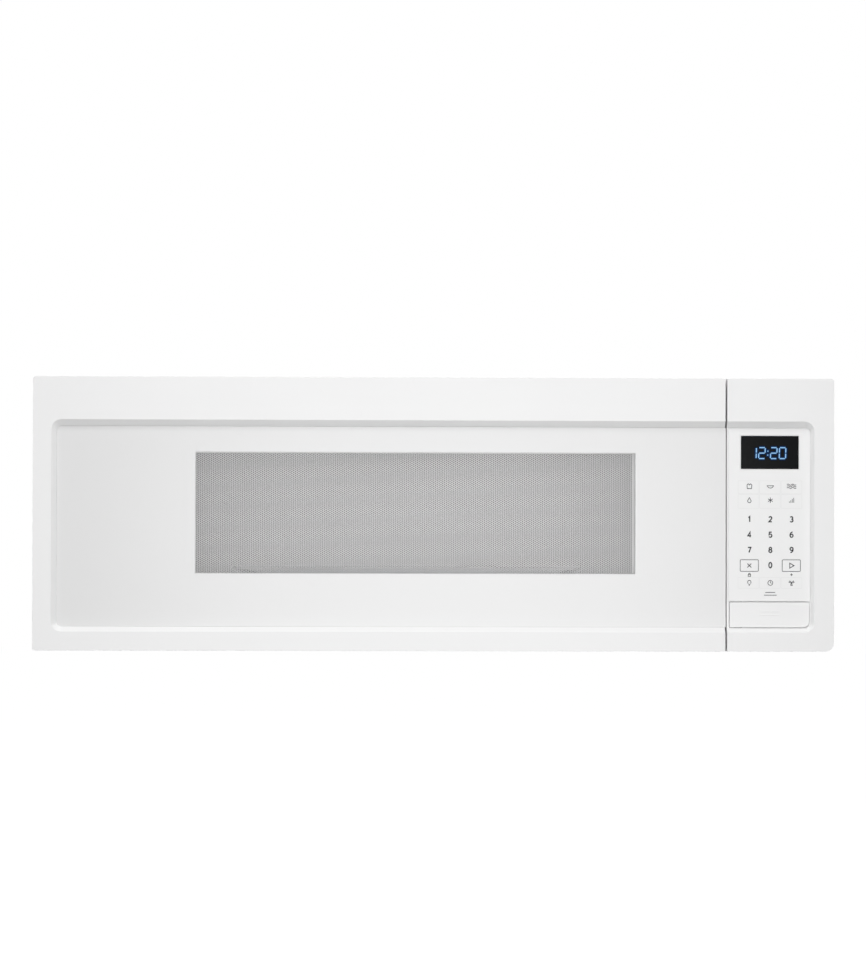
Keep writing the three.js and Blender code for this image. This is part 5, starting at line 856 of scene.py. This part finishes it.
def screw_head(reach):
    """A domed head with a cross recess, standing on the origin; all sizes are shares of its reach."""
    angles = [math.radians(15 * k) for k in range(24)]

    def circle(radius):
        return [(radius * reach * math.cos(a), radius * reach * math.sin(a)) for a in angles]

    def cross(arm, half):
        sides = [(abs(math.cos(a)), abs(math.sin(a))) for a in angles]
        radii = [reach * min(arm / max(pair), half / max(min(pair), 1e-6)) for pair in sides]
        return [(r * math.cos(a), r * math.sin(a)) for a, r in zip(angles, radii)]

    bm = bmesh.new()
    loft(bm, [
        (circle(1), 0), (circle(1), 0.1 * reach), (circle(0.85), 0.26 * reach),
        (circle(0.6), 0.32 * reach), (cross(0.55, 0.14), 0.32 * reach),
        (cross(0.4, 0.1), 0.1 * reach)], upright=False)
    return piece_from("screw", bm)


class OVEN_OT_springs(Operator):
    """Wind the springs of the button and the latch"""

    bl_idname = "oven.springs"
    bl_label = "Springs"

    def execute(self, context):
        for node, joint, axis in (
                ("button_spring", "button_press", 1), ("latch_spring", "latch_lift", 2)):
            low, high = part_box(node)
            piece = spring(node + "_wire", low, high, axis)
            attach(piece, BODY_OF[node])
            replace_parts(coat(piece, "bright_steel"), node)
            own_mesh(piece)
        return {"FINISHED"}


def spring(name, low, high, axis, turns=7, wire=0.55 * MM):
    """A compression spring in the given box, with its wire as one smooth tube of that radius."""
    middle = (low + high) / 2
    radius = (high[0] - low[0]) / 2 - wire
    curve = bpy.data.curves.new(name, "CURVE")
    curve.dimensions = "3D"
    curve.bevel_depth = wire
    curve.bevel_resolution = 3
    curve.use_fill_caps = True
    steps = turns * 20  # points on the wire
    line = curve.splines.new("POLY")
    line.points.add(steps)
    for k in range(steps + 1):
        angle = 2 * math.pi * turns * k / steps
        point = [middle.x + radius * math.cos(angle), 0.0, 0.0]
        point[3 - axis] = middle[3 - axis] + radius * math.sin(angle)
        point[axis] = low[axis] + wire + (high[axis] - low[axis] - 2 * wire) * k / steps
        line.points[k].co = (*point, 1)
    wound = linked(name, curve)
    bpy.context.view_layer.update()
    return baked(name, wound)


# Strokes of the clock's figures, and their ends on a grid two strokes high and one wide
CLOCK_STROKES = {"0": "abcdef", "1": "bc", "2": "abged"}
STROKE_ENDS = {
    "a": ((0, 2), (1, 2)), "b": ((1, 2), (1, 1)), "c": ((1, 1), (1, 0)), "d": ((0, 0), (1, 0)),
    "e": ((0, 0), (0, 1)), "f": ((0, 1), (0, 2)), "g": ((0, 1), (1, 1))}
# Figure and its place, place of the colon and middle of the whole, in widths of a figure
CLOCK_FIGURES = (("1", 0), ("2", 1.39), ("2", 3.26), ("0", 4.65))
COLON, CLOCK_MIDDLE = 2.82, 3.17
COLON_DOTS = (0.32, 0.68)
CLOCK_LEAN = 0.03
CLOCK_SLIM = 0.58  # width of a figure, as a share of its height
CLOCK_DROP = 0.6 * MM  # the clock's middle lies that far below the display's
# Name, finish, width, shortening at each end and thickness of the strokes
CLOCK_LAYERS = (
    ("clock_figures", "lit", 0.95 * MM, 0.5 * MM, 0.05 * MM),
    # the glow layer is a painted halo: wide strokes that glow behind the lit ones
    ("clock_glow", "halo", 2.9 * MM, 0.1 * MM, 0.02 * MM))


class OVEN_OT_clock(Operator):
    """Light the figures of the clock on the display"""

    bl_idname = "oven.clock"
    bl_label = "Clock"

    def execute(self, context):
        tall = context.scene.oven_sizes.clock_tall
        wide = tall * CLOCK_SLIM
        base = (DISPLAY_LOW.z + DISPLAY_HIGH.z) / 2 - tall / 2 - CLOCK_DROP
        left = (DISPLAY_LOW.x + DISPLAY_HIGH.x) / 2 - wide * CLOCK_MIDDLE

        def place(across, up):
            return Vector((left + across * wide + up * tall * CLOCK_LEAN, base + up * tall))

        for name, light, width, gap, proud in CLOCK_LAYERS:
            bm = bmesh.new()
            for figure, start in CLOCK_FIGURES:
                for stroke in CLOCK_STROKES[figure]:
                    ends = [place(start + u, v / 2) for u, v in STROKE_ENDS[stroke]]
                    along = (ends[1] - ends[0]).normalized() * gap
                    ribbon(bm, [ends[0] + along, ends[1] - along], width, DISPLAY_LOW.y, proud)
            for up in COLON_DOTS:
                dot, half = place(COLON, up), Vector((width / 2, 0))
                ribbon(bm, [dot - half, dot + half], width, DISPLAY_LOW.y, proud)
            piece = piece_from(name, bm)
            coat(piece, "display", light)
            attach(piece, "root")
        return {"FINISHED"}


# Strokes of the keypad's figures and signs, 1 high and centred on 0
FIGURES = {
    "0": [oval((0, 0.5), (0.27, 0.5))],
    "1": [[(-0.17, 0.78), (0.06, 0.99), (0.06, 0)]],
    "2": [arc((0, 0.72), (0.25, 0.27), 165, -35) + [(-0.27, 0.03), (0.29, 0.03)]],
    "3": [arc((-0.02, 0.745), (0.24, 0.24), 150, -90), arc((-0.02, 0.26), (0.28, 0.25), 90, -150)],
    "4": [[(0.13, 0), (0.13, 0.97), (-0.29, 0.27), (0.32, 0.27)]],
    "5": [[(0.25, 0.97), (-0.18, 0.97), (-0.22, 0.52)] + arc((-0.01, 0.31), (0.28, 0.3), 128, -150)],
    "6": [oval((0, 0.3), (0.27, 0.29)), [(-0.27, 0.3)] + arc((0.13, 0.36), (0.4, 0.61), 180, 78)],
    "7": [[(-0.27, 0.96), (0.27, 0.96), (-0.07, 0)]],
    "8": [oval((0, 0.75), (0.21, 0.235)), oval((0, 0.27), (0.27, 0.26))],
    "9": [oval((0, 0.7), (0.27, 0.29)), [(0.27, 0.7)] + arc((-0.13, 0.64), (0.4, 0.61), 0, -102)]}
SIGNS = {
    "bag": [[(-0.45, 0), (0.45, 0), (0.5, 0.75), (0.25, 1), (0, 0.75), (-0.25, 1), (-0.5, 0.75),
             (-0.45, 0)]],
    "bowl": [arc((0, 0.62), (0.75, 0.6), 180, 360), [(-0.95, 0.62), (0.95, 0.62)]],
    "waves": [[(x / 6, z + 0.13 * math.sin(x * math.pi / 3)) for x in range(-6, 7)]
              for z in (0.15, 0.5, 0.85)],
    "drop": [[(0, 1)] + arc((0, 0.34), (0.34, 0.34), 150, 390) + [(0, 1)]],
    "snow": [[(side * 0.5 * math.cos(a), 0.5 + side * 0.5 * math.sin(a)) for side in (-1, 1)]
             for a in (math.pi / 6, math.pi / 2, 5 * math.pi / 6)],
    "level": [[(0.3 * k - 0.45, 0), (0.3 * k - 0.45, 0.25 + 0.25 * k)] for k in range(4)],
    "bulb": [arc((0, 0.62), (0.33, 0.36), -50, 230, 16), [(-0.2, 0.2), (0.2, 0.2)],
             [(-0.12, 0.02), (0.12, 0.02)]],
    "clock": [oval((0, 0.5), (0.5, 0.5)), [(0, 0.85), (0, 0.5), (0.28, 0.42)]],
    "fan": [[(0, 0.5)] + [(0.5 * r * math.cos(t + a), 0.5 + 0.5 * r * math.sin(t + a))
                          for r, t in ((0.55, -0.5), (1, -0.25), (1, 0.35), (0.55, 0.3))]
            + [(0, 0.5)] for a in (0.5, 0.5 + 2 * math.pi / 3, 0.5 + 4 * math.pi / 3)],
    "lock": [[(-0.36, 0), (0.36, 0), (0.36, 0.55), (-0.36, 0.55), (-0.36, 0)],
             [(-0.22, 0.55)] + arc((0, 0.72), (0.22, 0.24), 180, 0) + [(0.22, 0.55)]],
    "plus": [[(-0.4, 0.5), (0.4, 0.5)], [(0, 0.1), (0, 0.9)]],
    "cross": [[(-0.42, 0.08), (0.42, 0.92)], [(-0.42, 0.92), (0.42, 0.08)]],
    "go": [[(-0.35, 0.02), (0.5, 0.5), (-0.35, 0.98), (-0.35, 0.02)]],
    "lines": [[(-1.8, 1), (1.8, 1)], [(-2.3, 0), (2.3, 0)]]}

# Places on the keypad film, in millimetres
KEY_COLUMNS = (299.3, 319.3, 339.5)
DIGIT_ROWS = (127.0, 112.4, 97.9, 83.4)
BOXED_KEYS = ((290.6, 307.9), (330.6, 348.0))
BOXED_ROW = (77.5, 88.5)
FIELD_X = ((288.5, 308.3), (309.1, 328.8), (329.6, 349.3))
FIELD_Z = ((151.4, 163.5), (137.4, 150.6), (61.4, 71.8))
# Sign, column, middle height, size and stroke
KEY_SIGNS = (
    ("bag", 0, 158.4, 4.6, 0.64), ("bowl", 1, 158.4, 3.6, 0.64), ("waves", 2, 158.4, 4.4, 0.64),
    ("drop", 0, 145.1, 4.8, 0.64), ("snow", 1, 145.1, 5.2, 0.64), ("level", 2, 145.1, 4.6, 0.62),
    ("cross", 0, 83.0, 4.4, 0.8), ("go", 2, 83.0, 4.8, 0.8),
    ("lock", 0, 74.3, 3.2, 0.62), ("plus", 2, 74.3, 3.2, 0.65),
    ("bulb", 0, 66.6, 4.8, 0.64), ("clock", 1, 66.6, 4.6, 0.64), ("fan", 2, 66.6, 5.0, 0.64),
    ("lines", 1, 56.2, 2.6, 0.65))
INK_THICK = 0.02 * MM
FIGURE_STROKE = 0.24  # of a figure's height
KEY_LINE, FIELD_LINE = (0.6 * MM, 0.8 * MM), (0.3 * MM, 0.5 * MM)  # width and corner radius


def print_strokes(bm, strokes, middle, tall, width):
    """Adds the strokes of a figure or sign, centred on a point of the film's face."""
    for points in strokes:
        placed = [(middle[0] + u * tall, middle[1] + (v - 0.5) * tall) for u, v in points]
        ribbon(bm, placed, width, FILM_FACE, INK_THICK)


def print_frame(bm, across, up, width, corner):
    """Adds a printed line round a key."""
    outline = rounded((across[0] * MM, up[0] * MM), (across[1] * MM, up[1] * MM), corner, 3)
    ribbon(bm, outline + outline[:1], width, FILM_FACE, INK_THICK)


class OVEN_OT_keypad(Operator):
    """Print the figures and signs on the keypad film"""

    bl_idname = "oven.keypad"
    bl_label = "Keypad print"

    def execute(self, context):
        tall = context.scene.oven_sizes.digit_tall
        figures, signs, fields = bmesh.new(), bmesh.new(), bmesh.new()
        for figure, key in zip("1234567890", (*range(9), 10)):
            middle = (KEY_COLUMNS[key % 3] * MM, DIGIT_ROWS[key // 3] * MM)
            print_strokes(figures, FIGURES[figure], middle, tall, FIGURE_STROKE * tall)
        for across in BOXED_KEYS:
            print_frame(figures, across, BOXED_ROW, *KEY_LINE)
        for sign, column, height, size, width in KEY_SIGNS:
            middle = (KEY_COLUMNS[column] * MM, height * MM)
            print_strokes(signs, SIGNS[sign], middle, size * MM, width * MM)
        for across in FIELD_X:
            for up in FIELD_Z:
                print_frame(fields, across, up, *FIELD_LINE)
        for name, bm, ink in (
                ("keypad_figures", figures, "ink"), ("keypad_signs", signs, "grey_ink"),
                ("keypad_fields", fields, "pale_ink")):
            piece = piece_from(name, bm)
            coat(piece, "membrane", ink)
            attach(piece, "root")
        return {"FINISHED"}


FLOOR_REACH, FLOOR_Z = 12, -0.45
AMBIENT = 0.34
FLOOR_GLOW = 0.87  # with the lamps' light, makes the floor white where it is seen
LIT_POINT = Vector((0, -0.2, 0.12))  # the lamps point at it
# Name, place, size, spread and power of each lamp; the last three light the sides and the back
LAMPS = (
    ("key", (-0.25, -1.33, 2.0), (1.0, 0.6), 180, 19.8),
    ("fill", (0.08, -2.13, 0.05), (1.0, 0.7), 110, 5.5),
    ("left", (-2.2, 0.35, 0.9), (1.2, 0.8), 180, 14.0),
    ("right", (2.2, 0.35, 0.9), (1.2, 0.8), 180, 14.0),
    ("back", (0.0, 2.2, 0.9), (1.8, 0.8), 180, 20.0))


class OVEN_OT_studio(Operator):
    """Set the floor, the lights, the world and the camera"""

    bl_idname = "oven.studio"
    bl_label = "Studio"

    def execute(self, context):
        scene = context.scene
        mesh = bpy.data.meshes.new("floor")
        corners = ((-1, -1), (1, -1), (1, 1), (-1, 1))
        mesh.from_pydata(
            [(x * FLOOR_REACH, y * FLOOR_REACH, FLOOR_Z) for x, y in corners], [], [(0, 1, 2, 3)])
        mesh.materials.append(studio_white())
        linked("floor", mesh)
        light_world(scene)
        for name, place, size, spread, power in LAMPS:
            lamp = bpy.data.lights.new(name, "AREA")
            lamp.shape = "RECTANGLE"
            lamp.size, lamp.size_y = size
            lamp.spread = math.radians(spread)
            lamp.energy = power
            turn = (LIT_POINT - Vector(place)).to_track_quat("-Z", "Y").to_matrix().to_4x4()
            holder = linked(name, lamp)
            holder.matrix_world = Matrix.Translation(place) @ turn
            holder.visible_camera = False
        scene.camera = photo_camera()
        scene.view_settings.view_transform = "Standard"
        return {"FINISHED"}


def seen_directly(tree):
    """1 for the camera, for a mirror and through glass, and 0 for other light."""
    path = add(tree, "ShaderNodeLightPath").outputs
    shown = add(tree, "ShaderNodeMath", {
        0: path["Is Camera Ray"], 1: path["Is Glossy Ray"]}, operation="MAXIMUM")
    return add(tree, "ShaderNodeMath", {
        0: shown.outputs[0], 1: path["Is Transmission Ray"]}, operation="MAXIMUM").outputs[0]


def studio_white():
    # Seamless paper: white where it is seen, with the object's shadow still on it.
    material, tree = bare_material("seamless_paper")
    paper = add(tree, "ShaderNodeBsdfDiffuse", {"Color": linear("A6A6A6")})
    share = add(
        tree, "ShaderNodeMath", {0: seen_directly(tree), 1: FLOOR_GLOW}, operation="MULTIPLY")
    white = add(tree, "ShaderNodeEmission", {"Strength": share})
    both = add(tree, "ShaderNodeAddShader", {0: paper, 1: white})
    add(tree, "ShaderNodeOutputMaterial", {"Surface": both})
    return material


def light_world(scene):
    """An even pale dome, white where it is seen."""
    world = bpy.data.worlds.new("studio")
    world.use_nodes = True
    tree = world.node_tree
    tree.nodes.clear()
    strength = add(tree, "ShaderNodeMapRange", {
        "Value": seen_directly(tree), "To Min": AMBIENT, "To Max": 1.0})
    dome = add(tree, "ShaderNodeBackground", {"Color": linear("FFFFFF"), "Strength": strength})
    add(tree, "ShaderNodeOutputWorld", {"Surface": dome})
    scene.world = world


# The camera that the photo's perspective gives
PHOTO_TALL = 960
FOCAL_PIXELS = 3171.79
SENSOR_MM = 36.0  # along the photo's taller side
CAMERA_PLACE = (-0.082284, -3.2318, 0.113006)
YAW, PITCH, ROLL = (math.radians(angle) for angle in (1.53896, 0.96025, 0.14311))


def photo_camera():
    """The camera at the photo's place."""
    ahead = Vector((
        math.sin(YAW) * math.cos(PITCH), math.cos(YAW) * math.cos(PITCH), math.sin(PITCH)))
    right = Vector((math.cos(YAW), -math.sin(YAW), 0))
    up = right.cross(ahead)
    x_axis = right * math.cos(ROLL) + up * math.sin(ROLL)
    y_axis = up * math.cos(ROLL) - right * math.sin(ROLL)
    turn = Matrix((x_axis, y_axis, -ahead)).transposed().to_4x4()
    lens = bpy.data.cameras.new("photo")
    lens.sensor_width = SENSOR_MM
    lens.lens = FOCAL_PIXELS * SENSOR_MM / PHOTO_TALL
    lens.clip_end = 100
    camera = linked("photo", lens)
    camera.matrix_world = Matrix.Translation(CAMERA_PLACE) @ turn
    return camera


class OVEN_PT_sidebar(Panel):
    """Lists the steps and the settings of the oven"""

    bl_idname = "OVEN_PT_sidebar"
    bl_label = "Oven"
    bl_space_type = "VIEW_3D"
    bl_region_type = "UI"
    bl_category = "Oven"

    def draw(self, context):
        for group in (context.scene.oven_colours, context.scene.oven_sizes):
            for name in group.__annotations__:
                self.layout.prop(group, name)
        for step in STEPS:
            self.layout.operator(step.bl_idname)


STEPS = (
    OVEN_OT_finishes, OVEN_OT_front_mouldings, OVEN_OT_parts, OVEN_OT_door_glass,
    OVEN_OT_door_screen, OVEN_OT_grease_filters, OVEN_OT_screws, OVEN_OT_springs, OVEN_OT_clock,
    OVEN_OT_keypad, OVEN_OT_studio)
CLASSES = (OvenColours, OvenSizes, *STEPS, OVEN_PT_sidebar)


def register():
    for kind in CLASSES:
        bpy.utils.register_class(kind)
    bpy.types.Scene.oven_colours = PointerProperty(type=OvenColours)
    bpy.types.Scene.oven_sizes = PointerProperty(type=OvenSizes)


def unregister():
    del bpy.types.Scene.oven_sizes
    del bpy.types.Scene.oven_colours
    for kind in reversed(CLASSES):
        bpy.utils.unregister_class(kind)


def main():
    register()
    for step in STEPS:
        group, name = step.bl_idname.split(".")
        getattr(getattr(bpy.ops, group), name)()


if __name__ == "__main__":
    main()
